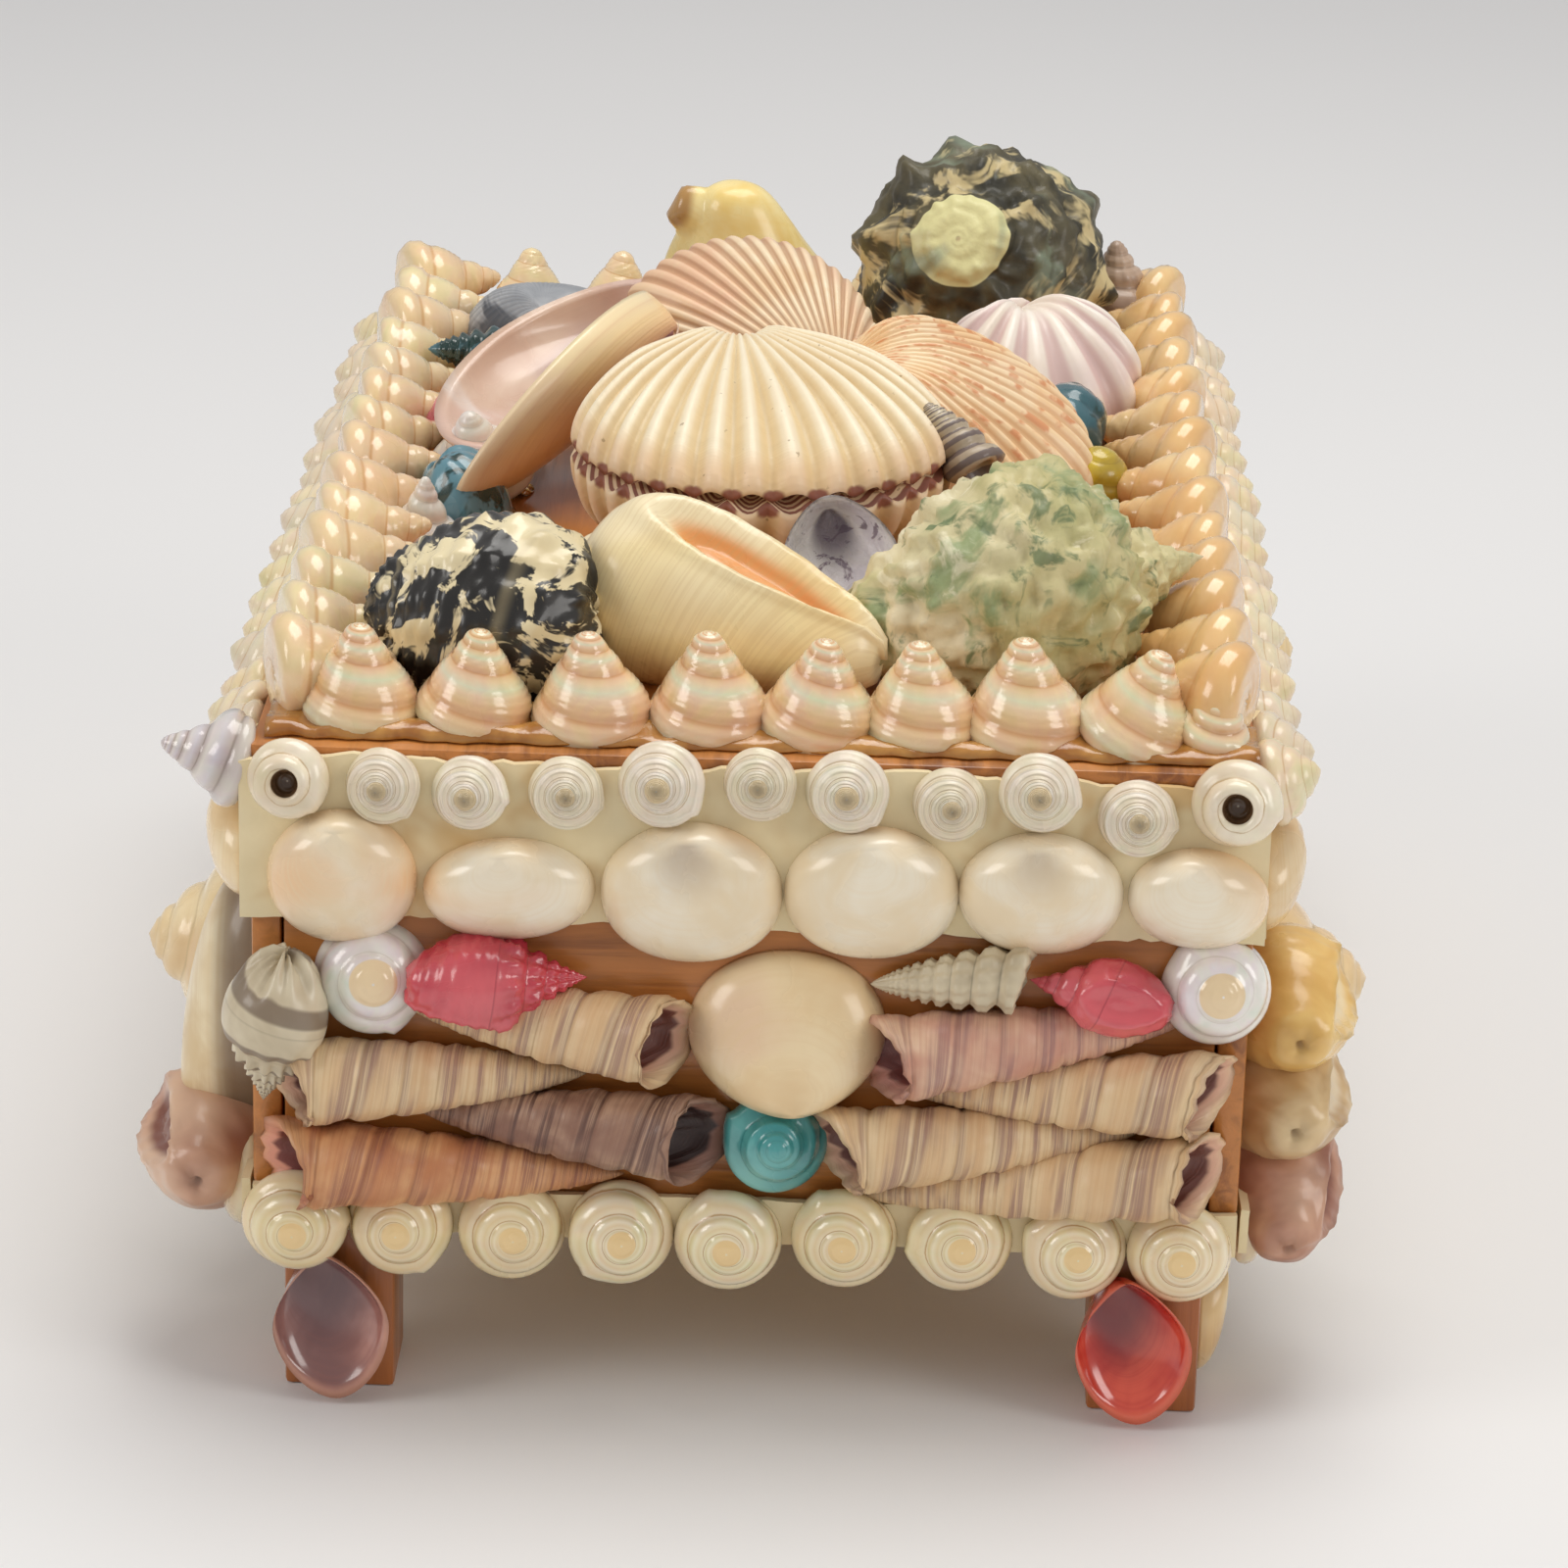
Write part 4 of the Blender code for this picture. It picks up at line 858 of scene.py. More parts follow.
def make_front_augers():
    """Eight augers laid past each other along the front, their open ends outwards."""
    # The hollow colour of each finish is painted shade deep inside the open end of the auger.
    looks = {
        "banded": shell_finish("banded_auger", srgb(234, 208, 166), srgb(212, 170, 124), streak=0.75,
                               blush=srgb(150, 112, 104), inside=srgb(222, 174, 146),
                               hollow=srgb(112, 62, 50),
                               coat=0.15, rough=0.4,
                               bands=((0.0, srgb(238, 214, 172)), (0.45, srgb(226, 190, 144)),
                                      (1.0, srgb(236, 212, 170)))),
        "orange": shell_finish("orange_auger", srgb(226, 172, 122), srgb(196, 128, 84), streak=0.7,
                               blush=srgb(140, 84, 72), inside=srgb(226, 156, 130),
                               hollow=srgb(120, 56, 46), coat=0.15,
                               rough=0.4),
        "brown": shell_finish("brown_auger", srgb(196, 160, 134), srgb(140, 100, 82), streak=0.8,
                              blush=srgb(84, 56, 52), inside=srgb(150, 106, 90), hollow=srgb(52, 28, 24),
                              coat=0.15,
                              rough=0.45),
        "pink": shell_finish("pink_auger", srgb(232, 196, 164), srgb(206, 150, 128), streak=0.7,
                             blush=srgb(146, 104, 104), inside=srgb(222, 164, 150),
                             hollow=srgb(128, 70, 64), coat=0.15,
                             rough=0.4),
    }
    augers = {
        "left": (((-6.6, 40.2), (-35.5, 43.6), 4.6, "banded"), ((-49, 34.7), (-16.5, 36.6), 4.5, "banded"),
                 ((-49.5, 25.6), (-12.5, 25.4), 4.5, "orange"), ((-2.5, 29.4), (-35, 32.4), 4.5, "brown")),
        "right": (((12.0, 38.9), (45, 44.6), 4.4, "pink"), ((49.3, 36.4), (15.5, 36.0), 4.4, "banded"),
                  ((7.6, 28.7), (41, 32.2), 4.4, "banded"), ((48.8, 27.6), (11.5, 23.9), 4.4, "banded")),
    }
    where = face("front")
    for side, group in augers.items():
        shells = {}
        for (u0, v0), (u1, v1), radius, kind in group:
            start = millimetres(u0, v0 + 0.36 * radius, radius * 0.92)
            end = millimetres(u1, v1 + 0.5, 1.0)
            mesh = auger_mesh((end - start).length / MM, radius, kind)
            side_on = (0, 0, 1) if kind == "brown" else (-0.2 if u1 > u0 else 0.2,
                                                         chance.uniform(-0.7, 0.1), 1)
            spot = stand(start, end - start, side_on, 180)
            shells.setdefault(kind, []).append(copy_of(mesh, where @ spot))
        for kind, meshes in shells.items():
            piece(f"{kind}_augers_{side}", meshes, looks[kind], "tan_shell", "augers_front_" + side)


yellow_pearl_look = shell_finish(
    "pearly_yellow_shell", srgb(248, 230, 172), srgb(236, 204, 136), pearl=0.22, coat=0.7, rough=0.2,
    seam_dark=0.6, tinted=0.5, tint_to=srgb(244, 198, 158), seam_colour=srgb(208, 150, 82))
upright_top = spiral(
    "upright_top", CONE_PROFILE, 6.2, 10.8, 1.95, 0.72, 0.08, 0.16, fine_ridges(7, 0.012), around=44,
    along=64)


def make_front_row():
    """Eight upright shells and two stumps along the front edge of the lid, set in glue."""
    # The greenish-white band at mid-whorl is a painted pearly highlight; the amber and cream bands are the
    # shell's own colour.
    pearly = shell_finish("pearly_peach_shell", srgb(238, 194, 136), srgb(220, 164, 102), pearl=0.16,
                          bands=((0.0, srgb(228, 170, 108)), (0.2, srgb(242, 212, 164)),
                                 (0.42, srgb(220, 232, 196)),
                                 (0.58, srgb(240, 210, 170)), (0.8, srgb(230, 182, 118)),
                                 (1.0, srgb(208, 144, 78))),
                          coat=0.7, rough=0.2, seam_dark=0.5, tinted=0.3, tint_to=srgb(246, 222, 174),
                          seam_colour=srgb(206, 146, 88))
    shells = []
    for order, x in enumerate((-40.9, -29.3, -17.0, -5.1, 5.9, 16.6, 27.3, 37.9)):
        lean = (0.08 * math.sin(2.0 * order) + (0.22 if order == 7 else 0), -0.1, 1)
        at = millimetres(x, -80.3 + 0.5 * chance.uniform(-1, 1), GLUE_LEVEL)
        spot = stand(at, lean, (0, -1, 0), 150 + 60 * chance.random())
        shells.append(copy_of(upright_top, spot @ Matrix.Scale(0.95 + 0.1 * chance.random(), 4)))
    stump_profile = (
        (0, 0.62), (0.25, 0.64), (0.42, 0.56), (0.72, 0.38), (0.96, 0.22), (1, 0.12), (0.9, 0), (0, 0))
    stump = spiral("stump", stump_profile, 3.8, 9.5, 1.7, 0.66, 0.3, 0.2, around=40, along=40)
    shells.append(copy_of(stump, stand(millimetres(46.2, -81, GLUE_LEVEL), (0.1, -0.25, 1), spin=200)))
    spot = stand(millimetres(45.2, -73.6, GLUE_LEVEL), (-0.1, 0.1, 1), spin=90)
    shells.append(copy_of(stump, spot @ Matrix.Scale(0.8, 4)))
    piece("front_row_shells", shells, pearly, "pearl_shell", "lid_row_front")
    glue_run("front_row_glue", (-50, -86.8), (51, -76.5), "lid_row_front")


def make_long_rows():
    """Shells that lie side by side along both long edges of the lid, their tips inwards."""
    amber = shell_finish(
        "amber_top_shell", srgb(246, 210, 148), srgb(234, 184, 114), pearl=0.06, coat=0.8, rough=0.18,
        seam_dark=0.4, tinted=0.35, tint_to=srgb(226, 172, 102), seam_colour=srgb(212, 150, 84))
    lying = spiral(
        "lying_top", TOP_PROFILE, 5.6, 12.4, 1.85, 0.7, 0.15, 0.16, fine_ridges(6, 0.012), around=36,
        along=48)
    rows = ((-1, "left", yellow_pearl_look, "pearl_shell"), (1, "right", amber, "amber_shell"))
    for side, name, look, slot in rows:
        shells = []
        for order in range(14):
            y = -76.5 + order * 12.1 + chance.uniform(-0.6, 0.6)
            start = millimetres(side * 49.5, y - 1.5, GLUE_LEVEL + 4.0)
            axis = (-side, 0.34 + 0.14 * math.sin(3 * order), 0.04)
            spot = stand(start, axis, (0, 0, 1), 90 + 80 * chance.random())
            shells.append(copy_of(lying, spot @ Matrix.Scale(0.94 + 0.1 * chance.random(), 4)))
        piece(f"{name}_row_shells", shells, look, slot, "lid_row_" + name)
        glue_run(f"{name}_row_glue", (side * 45 - 5.5, -76), (side * 45 + 5.5, 86), "lid_row_" + name)


def make_back_row():
    """Seven upright shells along the back edge of the lid."""
    shells = []
    for order in range(7):
        at = millimetres(-34 + order * 11.3, 81.5, GLUE_LEVEL)
        spot = stand(at, (0.1 * math.sin(order), 0.1, 1), spin=360 * chance.random())
        shells.append(copy_of(upright_top, spot @ Matrix.Scale(0.86, 4)))
    piece("back_row_shells", shells, yellow_pearl_look, "pearl_shell", "lid_row_back")
    glue_run("back_row_glue", (-40, 77.5), (40, 86), "lid_row_back")


def make_side_bands():
    """Card bands of the lid's long sides and back, each with top shells over clams."""
    top_look = shell_finish(
        "side_top_shell", srgb(244, 226, 182), srgb(230, 204, 146), pearl=0.25, coat=0.5, rough=0.26,
        seam_dark=0.6, tinted=0.5, tint_to=srgb(220, 210, 196), seam_colour=srgb(196, 152, 92))
    clam_look = shell_finish(
        "peach_clam", srgb(246, 226, 186), srgb(234, 198, 142), lines=0.35, seam_dark=0.0, coat=0.5,
        rough=0.28, grain=0.02, tinted=0.45, tint_to=srgb(158, 108, 74))
    corner_look = shell_finish(
        "grey_pearl_shell", srgb(214, 202, 186), srgb(160, 146, 134), pearl=0.15, coat=0.6, rough=0.22,
        seam_dark=0.6, bands=((0.0, srgb(150, 132, 124)), (0.3, srgb(228, 222, 214)),
        (0.7, srgb(210, 206, 214)), (1.0, srgb(170, 150, 138))))
    mesh = spiral("side_top", DISC_PROFILE, 4.3, 5.4, 1.8, 0.66, 0.24, 0.14, around=28, along=24)
    for side, half in (("left", 88.5), ("right", 88.5), ("back", 51.0)):
        where = face(side, CARD)
        count = round(2 * half / 9.6)
        shells = []
        for order in range(count):
            u = (order - (count - 1) / 2) * 9.6
            tip = (0.2 * chance.uniform(-1, 1), 0.15 + 0.2 * chance.random(), 1)
            at = millimetres(u, 67.8 + 0.6 * chance.uniform(-1, 1), -0.2)
            spot = stand(at, tip, (0, 1, 0), 360 * chance.random())
            shells.append(copy_of(mesh, where @ spot @ Matrix.Scale(0.92 + 0.12 * chance.random(), 4)))
        if side == "left":
            pointed = spiral("corner_top", TOP_PROFILE, 4.7, 8.6, 1.7, 0.66, 0.2, 0.14, around=36, along=40)
            spot = where @ stand(millimetres(half - 3.4, 68.4, -0.2), (0.1, 0.25, 1), (0, 1, 0), 30)
            shells[-1] = copy_of(mesh, where @ stand(millimetres(half - 12.4, 67.2, -0.2), (0, 0.2, 1)))
            piece("corner_top_shell", [copy_of(pointed, spot)], corner_look, "grey_shell")
        node = "lid_band_" + side
        piece("lid_top_shells_" + side, shells, top_look, "shelled_card", node)
        valves = []
        count = round(2 * half / 19.5)
        for order in range(count):
            u = (order - (count - 1) / 2) * 19.5
            clam = valve(
                "side_clam", 18.2, 12.0, 4.6, (0.03, -0.40), square=2.1, narrow=0.1, around=48, along=12)
            spot = facing(millimetres(u, 57.8, -0.3), (0.1 * chance.uniform(-1, 1), -1, 0), (0, 0, 1))
            valves.append(copy_of(clam, where @ spot))
        piece("lid_clams_" + side, valves, clam_look, "shelled_card", node)
        card_strip("lid_card_" + side, node, side, half, 53.7, 70.4, 0.7)


def bumps(scale, depth, spikes=0, reach=0.0, rows=(0.4,), wide=0.2):
    """Rough surface with rows of knobs along each whorl."""
    def relief(turn, across, share, spot):
        value = depth * noise.noise(spot * scale) + 0.5 * depth * noise.noise(spot * scale * 2.3)
        if spikes:
            for order, row in enumerate(rows):
                crest = max(0.0, math.cos(math.tau * (spikes * turn + 0.5 * order))) ** 3
                value += reach * crest * math.exp(-((across - row) / wide) ** 2) * min(1.0, share * 1.6)
        return value
    return relief


def bead_rows(around, rows, depth):
    """Beads in rows along the whorls."""
    def relief(turn, across, share, spot):
        row = 0.5 + 0.5 * math.cos(math.tau * rows * across)
        bead = 0.5 + 0.5 * math.cos(math.tau * around * turn)
        return depth * (row * (0.4 + 0.9 * bead) + 0.6 * noise.noise(spot * 4))
    return relief


def axial_ribs(count, depth, cords=0):
    """Upright ribs on every whorl, crossed by cords."""
    def relief(turn, across, share, spot):
        rib = math.cos(math.tau * count * turn)
        cord = 0.35 * math.cos(math.tau * cords * across) if cords else 0.0
        return depth * (rib * math.sin(math.pi * min(1.0, across)) + cord)
    return relief


def on_lid(x, y, above):
    return millimetres(x, y, LID_TOP + above)


def make_cream_cockle():
    """Closed white cockle in the middle of the lid, a brown edge along its ribs."""
    ribs = 30
    look = Finish("cream_cockle", 0.45, 0.12)
    rib, share = look.wound()
    soft = look.cloud(90.0, 4.0, 0.6)
    specks = look.cloud(900.0, 2.0)
    crest = (rib * math.tau + math.pi / 2).sine() * 0.5 + 0.5
    ground = look.mix(soft.over(0.3, 0.7), srgb(242, 224, 186), srgb(230, 202, 154))
    ground = look.mix(crest * 0.6, ground, srgb(252, 244, 222))
    ground = look.mix(share.over(0.90, 0.99) * 0.55, ground, srgb(238, 192, 146))
    groove = 1.0 - crest.over(0.3, 0.8)
    ground = look.mix(groove * 0.5 * share.over(0.1, 0.5), ground, srgb(222, 196, 146))
    ground = look.mix((share - crest * 0.012).over(0.9915, 0.9955), ground, srgb(150, 92, 74))
    ground = look.mix(specks.over(0.70, 0.76) * 0.6, ground, srgb(150, 120, 80))
    look.set("Base Color", ground)
    growth = look.cloud(1.0, 3.0, 0.6, 0.1, look.vector(0.2, share * 30.0))
    look.bump(growth * 0.7 + look.cloud(500.0, 3.0) * 0.4, 0.25)
    at, along, out = on_lid(-1.5, -23, 13.8), Vector((0.2, -1, -0.02)), Vector((0, 0, 1))
    halves = []
    for turn, bulge in ((1, 9.8), (-1, 13.0)):
        half = valve(
            "cockle_half", 41.5, 40, bulge, (0.0, -0.44), ribs=ribs, rib_rise=1.5, square=2.1,
            narrow=0.45, along=30, curl=0.5 if turn > 0 else 0.8, roll=0.2)
        halves.append(copy_of(half, facing(at, along, out * turn)))
    piece("cream_cockle_shell", halves, look, "cream_shell", "cockle_white")


def make_tan_cockle():
    """Closed tan cockle behind the white one."""
    look = shell_finish(
        "tan_cockle", srgb(246, 228, 196), srgb(236, 208, 168), seam_dark=0.0, lines=0.3,
        blush=srgb(232, 190, 156), coat=0.1, rough=0.45)
    half = valve(
        "tan_half", 34, 33, 9, (0.05, -0.42), ribs=46, rib_rise=0.55, square=2.1, along=24, curl=0.35)
    under = valve("tan_under", 34, 33, 8, (-0.05, -0.42), ribs=46, rib_rise=0.55, square=2.1, along=12)
    at, along, out = on_lid(-5, 20, 10.9), Vector((-0.8, 0.4, 0.45)), Vector((0, -0.74, 0.66))
    meshes = [copy_of(half, facing(at, along, out)), copy_of(under, facing(at, along, -out))]
    groove_dark(look, srgb(172, 118, 76), 0.6)
    piece("tan_cockle_shell", meshes, look, "tan_shell", "cockle_tan")


def make_orange_cockle():
    """Closed cockle with orange flecks, at the right of the white one."""
    look = shell_finish(
        "orange_cockle", srgb(250, 226, 188), srgb(244, 208, 160), seam_dark=0.0, lines=0.2, coat=0.15,
        rough=0.42)
    half = valve(
        "orange_half", 29, 34, 9, (-0.02, -0.44), ribs=34, rib_rise=0.75, square=2.1, along=26, curl=0.35)
    under = valve("orange_under", 29, 34, 8, (0.04, -0.44), ribs=34, rib_rise=0.75, square=2.1, along=12)
    at, along, out = on_lid(20, -3, 9.6), Vector((0.9, -0.12, -0.32)), Vector((0.28, -0.42, 0.86))
    meshes = [copy_of(half, facing(at, along, out)), copy_of(under, facing(at, along, -out))]
    groove_dark(look, srgb(204, 152, 100), 0.5, srgb(214, 136, 84))
    piece("orange_cockle_shell", meshes, look, "orange_shell", "cockle_orange")


def groove_dark(look, colour, amount, flecks=None):
    """Darken the grooves between ribs, and fleck the ribs in bands."""
    rib, share = look.wound()
    crest = (rib * math.tau + math.pi / 2).sine() * 0.5 + 0.5
    look.paint((1.0 - crest.over(0.2, 0.7)) * share.over(0.1, 0.5) * amount, colour)
    if flecks:
        bands = look.cloud(1.0, 3.0, 0.6, 0.2, look.vector(rib * 0.7, share * 9.0))
        look.paint(bands.over(0.5, 0.62) * crest.over(0.2, 0.6) * 0.8, flecks)


def make_open_clam():
    """Smooth clam lying open: one valve shows its inside, the other its back."""
    inside = shell_finish(
        "mauve_clam_inside", srgb(226, 198, 176), srgb(212, 176, 152), seam_dark=0.0, lines=0.15,
        coat=0.5, rough=0.24, grain=0.02, blush=srgb(226, 192, 178))
    patch = inside.cloud(38.0, 3.0, 0.6, 1.0)
    near_beak = 1.0 - inside.across().over(0.25, 0.75)
    inside.paint(patch.over(0.40, 0.56) * near_beak * 0.85, srgb(128, 104, 142))
    inside.paint((1.0 - patch.over(0.32, 0.42)) * 0.8, srgb(246, 240, 236))
    half = valve("left_valve", 25, 39, 6.4, (0.0, -0.46), wall=1.2, square=2.0, narrow=0.18)
    at, along, out = on_lid(-26, 11.5, 13.6), Vector((-0.5, -0.8, -0.32)), Vector((-0.3, -0.42, 0.86))
    piece(
        "open_clam_inside", [copy_of(half, facing(at, along, -out))], inside, "mauve_shell",
        "open_clam_left")
    outside = Finish("peach_clam_back", 0.3, 0.35)
    share = outside.across()
    rings = outside.cloud(1.0, 4.0, 0.6, 0.1, outside.vector(0.1, share * 18.0))
    warm = outside.cloud(40.0, 2.0)
    tone = outside.ramp(
        share, (0.04, srgb(176, 124, 136)), (0.2, srgb(206, 150, 132)), (0.5, srgb(234, 190, 144)),
        (0.85, srgb(244, 214, 160)), (1.0, srgb(248, 228, 184)))
    tone = outside.mix(rings.over(0.5, 0.68) * 0.35, tone, srgb(214, 160, 120))
    tone = outside.mix(warm.over(0.5, 0.7) * 0.3, tone, srgb(206, 160, 150))
    outside.set("Base Color", tone)
    outside.bump(rings, 0.15)
    half = valve("right_valve", 19, 40, 5.6, (0.0, -0.47), wall=1.2, square=1.9, narrow=0.2)
    at, along, out = on_lid(-26.2, 1, 12.8), Vector((-0.5, -0.78, -0.37)), Vector((-0.76, 0.4, 0.52))
    piece(
        "open_clam_back", [copy_of(half, facing(at, along, -out))], outside, "peach_shell",
        "open_clam_right")


MOUND_PROFILE = (
    (0, 1), (0.3, 0.94), (0.62, 0.66), (0.86, 0.3), (1.0, 0.06), (0.98, 0.0), (0.5, 0.0), (0, 0.0))
NERITE_PROFILE = (
    (0, 1), (0.34, 0.95), (0.7, 0.8), (0.94, 0.56), (1.0, 0.38), (0.9, 0.17), (0.62, 0.03), (0.3, 0.0),
    (0, 0.03))
TURBAN_PROFILE = (
    (0, 0.80), (0.28, 0.79), (0.40, 0.74), (0.56, 0.66), (0.86, 0.55), (1.0, 0.40), (0.97, 0.24),
    (0.8, 0.06), (0.5, 0.0), (0, 0.0))
CONCH_PROFILE = (
    (0, 1), (0.2, 0.94), (0.46, 0.88), (0.84, 0.80), (1.0, 0.69), (0.9, 0.5), (0.64, 0.28), (0.4, 0.12),
    (0.24, 0.03), (0.16, 0.0), (0, 0.0))


def make_nerite():
    """Black and white beaded shell at the lid's left front."""
    look = shell_finish(
        "black_and_white_nerite", srgb(240, 226, 186), srgb(222, 204, 160), seam_dark=0.3,
        spots=(150.0, 0.475, 0.52, srgb(34, 32, 30)), coat=0.35, rough=0.3)
    mesh = spiral(
        "nerite", NERITE_PROFILE, 9.9, 23.5, 2.6, 0.66, 0.12, 0.1, bead_rows(17, 6, 0.055), around=102,
        along=70)
    spot = stand(on_lid(-18.6, -69, 8.9), (-1, 0.12, -0.12), (0, -1, 0.4), 30)
    piece("nerite_shell", [copy_of(mesh, spot)], look, "dark_shell", "nerite")


def make_cream_whelk():
    """Cream whelk that lies with its orange opening up."""
    look = shell_finish(
        "cream_whelk", srgb(248, 228, 172), srgb(242, 216, 160), seam_dark=0.2, coat=0.35, rough=0.3,
        lines=0.0, blush=srgb(246, 230, 190), inside=srgb(232, 160, 92), grain=0.03)
    fine = look.cloud(1.0, 2.0, 0.5, 0.1, look.vector(0.2, look.across() * 40.0))
    near_end = look.across().over(0.55, 0.95)
    look.paint(fine.over(0.45, 0.6) * near_end * 0.2, srgb(206, 172, 110))
    mesh = spiral(
        "cream_whelk", CONCH_PROFILE, 9.3, 36, 1.9, 0.2, 0.2, 0.1, lambda turn, across, share,
        spot: 0.02 * noise.noise(spot * 2.5), mouth=(0.66, 0.5, 0.27, 0.065, 0.34), around=96, along=80)
    start, end = on_lid(10.4, -69.5, 5.0), on_lid(-23.3, -56.5, 10.8)
    spot = stand(start, end - start, (0.42, -0.35, 0.85), 180)
    piece("cream_whelk_shell", [copy_of(mesh, spot)], look, "cream_shell", "whelk_cream")


def make_rock_shell():
    """Green knobbed rock shell at the lid's right front."""
    look = shell_finish(
        "green_rock_shell", srgb(214, 202, 152), srgb(184, 178, 124), seam_dark=0.2,
        spots=(75.0, 0.50, 0.64, srgb(148, 160, 112)), coat=0.1, rough=0.55, grain=0.6,
        blush=srgb(228, 214, 178))
    # Painted shade: dark green patches stand for the shade in the pits between the knobs; where the cloud
    # is low the surface is painted paler.
    pit_shade = look.cloud(190.0, 4.0, 0.65, 0.8)
    look.paint(pit_shade.over(0.54, 0.66) * 0.85, srgb(104, 122, 82))
    look.paint((1.0 - pit_shade.over(0.30, 0.42)) * 0.6, srgb(242, 234, 204))
    mesh = spiral(
        "rock_shell", WHELK_PROFILE, 12.0, 38, 1.8, 0.24, 0.18, 0.1,
        bumps(5.5, 0.12, 10, 0.15, (0.3, 0.75, 1.2), 0.13), around=120, along=110)
    start, end = on_lid(11.5, -65.5, 7.0), on_lid(46, -52, 11.5)
    spot = stand(start, end - start, (0, 0, 1), 60)
    piece("rock_shell_knobbed", [copy_of(mesh, spot)], look, "green_shell", "rock_shell")


def make_turban():
    """Dark turban shell at the back right, its worn pale tip towards the front."""
    look = shell_finish(
        "dark_turban", srgb(98, 90, 62), srgb(44, 42, 30), seam_dark=0.4, coat=0.15, rough=0.5,
        spots=(80.0, 0.50, 0.57, srgb(204, 186, 138)), grain=0.5, inside=srgb(222, 216, 158))
    moss = look.cloud(42.0, 3.0, 0.6, 1.2)
    look.paint(moss.over(0.54, 0.66) * 0.7, srgb(134, 148, 126))
    mesh = spiral(
        "turban", TURBAN_PROFILE, 14.8, 30, 2.3, 0.52, 0.14, 0.14,
        bumps(4.2, 0.09, 8, 0.17, (0.5, 1.1), 0.28), worn=0.15, around=120, along=80)
    spot = stand(on_lid(26, 77, 7.6), (-0.2, -0.86, 0.47), (0, 0, 1), 40)
    piece("turban_shell", [copy_of(mesh, spot)], look, "dark_shell", "turban")


def make_yellow_clam():
    """Tall yellow clam at the back of the lid, its brown tip to the left."""
    look = shell_finish(
        "yellow_clam", srgb(250, 232, 168), srgb(240, 208, 120), seam_dark=0.0, lines=0.25, coat=0.4,
        rough=0.28, blush=srgb(230, 192, 120), grain=0.03, inside=srgb(184, 142, 84))
    cone = (
        (0, 1), (0.2, 0.985), (0.36, 0.9), (0.56, 0.66), (0.8, 0.36), (1.0, 0.08), (0.96, 0.0),
        (0.5, 0.0), (0, 0))

    def ridge(turn, across, share, spot):
        keel = math.exp(-((turn - 0.5) / 0.07) ** 2) * min(1.0, share * 2) * 0.22
        return keel + 0.03 * noise.noise(spot * 2)

    mesh = spiral(
        "ridged_clam", cone, 12.4, 23.5, 9.0, 0.999, 0.0, 0.0, ridge,
        mouth=(0.17, 0.5, 0.075, 0.08, -0.2), around=72, along=48)
    for vert in mesh.vertices:
        stretch = 1.2 if vert.co.x > 0 else 0.95
        vert.co = Vector((vert.co.x * stretch - 0.1 * vert.co.z, vert.co.y * 0.86, vert.co.z))
    spot = stand(on_lid(-4.4, 67, 0.6), (-0.04, -0.2, 1), (1, 0, 0), 0)
    piece("yellow_ridged_clam", [copy_of(mesh, spot)], look, "yellow_shell", "mussel_yellow")


def make_pink_scallop():
    """Closed pink and white scallop behind the orange cockle."""
    look = shell_finish(
        "pink_scallop", srgb(250, 242, 232), srgb(240, 226, 210), seam_dark=0.0, lines=0.2,
        blush=srgb(226, 206, 204), coat=0.2, rough=0.4)
    groove_dark(look, srgb(206, 170, 168), 0.7)
    half = valve(
        "scallop_half", 24, 21, 7.5, (0.0, -0.44), ribs=11, rib_rise=1.5, square=2.2, along=22, curl=0.3)
    under = valve("scallop_under", 22, 20, 6, (0.0, -0.44), ribs=14, rib_rise=1.0, square=2.2, along=10)
    at, along, out = on_lid(31, 33, 7.4), Vector((0.25, -0.7, -0.5)), Vector((0.1, -0.5, 0.86))
    meshes = [copy_of(half, facing(at, along, out)), copy_of(under, facing(at, along, -out))]
    piece("pink_scallop_shell", meshes, look, "pink_shell", "scallop_pink")


def make_low_valves():
    """Blue domed valve in front, and a grey ribbed one at the back left."""
    look = shell_finish(
        "blue_dome", srgb(196, 222, 230), srgb(150, 196, 212), seam_dark=0.0, lines=0.3,
        spots=(420.0, 0.66, 0.7, srgb(40, 60, 70)), coat=0.2, rough=0.4)
    groove_dark(look, srgb(110, 168, 194), 0.7)
    half = valve("blue_dome", 14.5, 13, 8.4, (0.0, -0.3), ribs=24, rib_rise=0.4, along=16)
    spot = facing(on_lid(-31, -47, 0), (0, 1, 0), (0, -0.1, 1))
    piece("blue_limpet", [copy_of(half, spot)], look, "teal_shell", "limpet_blue")

    look = shell_finish(
        "grey_ribbed", srgb(176, 178, 182), srgb(142, 146, 152), seam_dark=0.0, lines=0.5,
        spots=(50.0, 0.52, 0.6, srgb(76, 80, 88)), coat=0.1, rough=0.5)
    groove_dark(look, srgb(104, 106, 112), 0.3)
    half = valve("grey_half", 24, 18, 11, (0.0, -0.4), ribs=40, rib_rise=0.12, along=20)
    spot = facing(on_lid(-30, 60, 0), (0.1, 1, 0), (0, -0.15, 1))
    piece("grey_ribbed_clam", [copy_of(half, spot)], look, "grey_shell", "valve_grey")


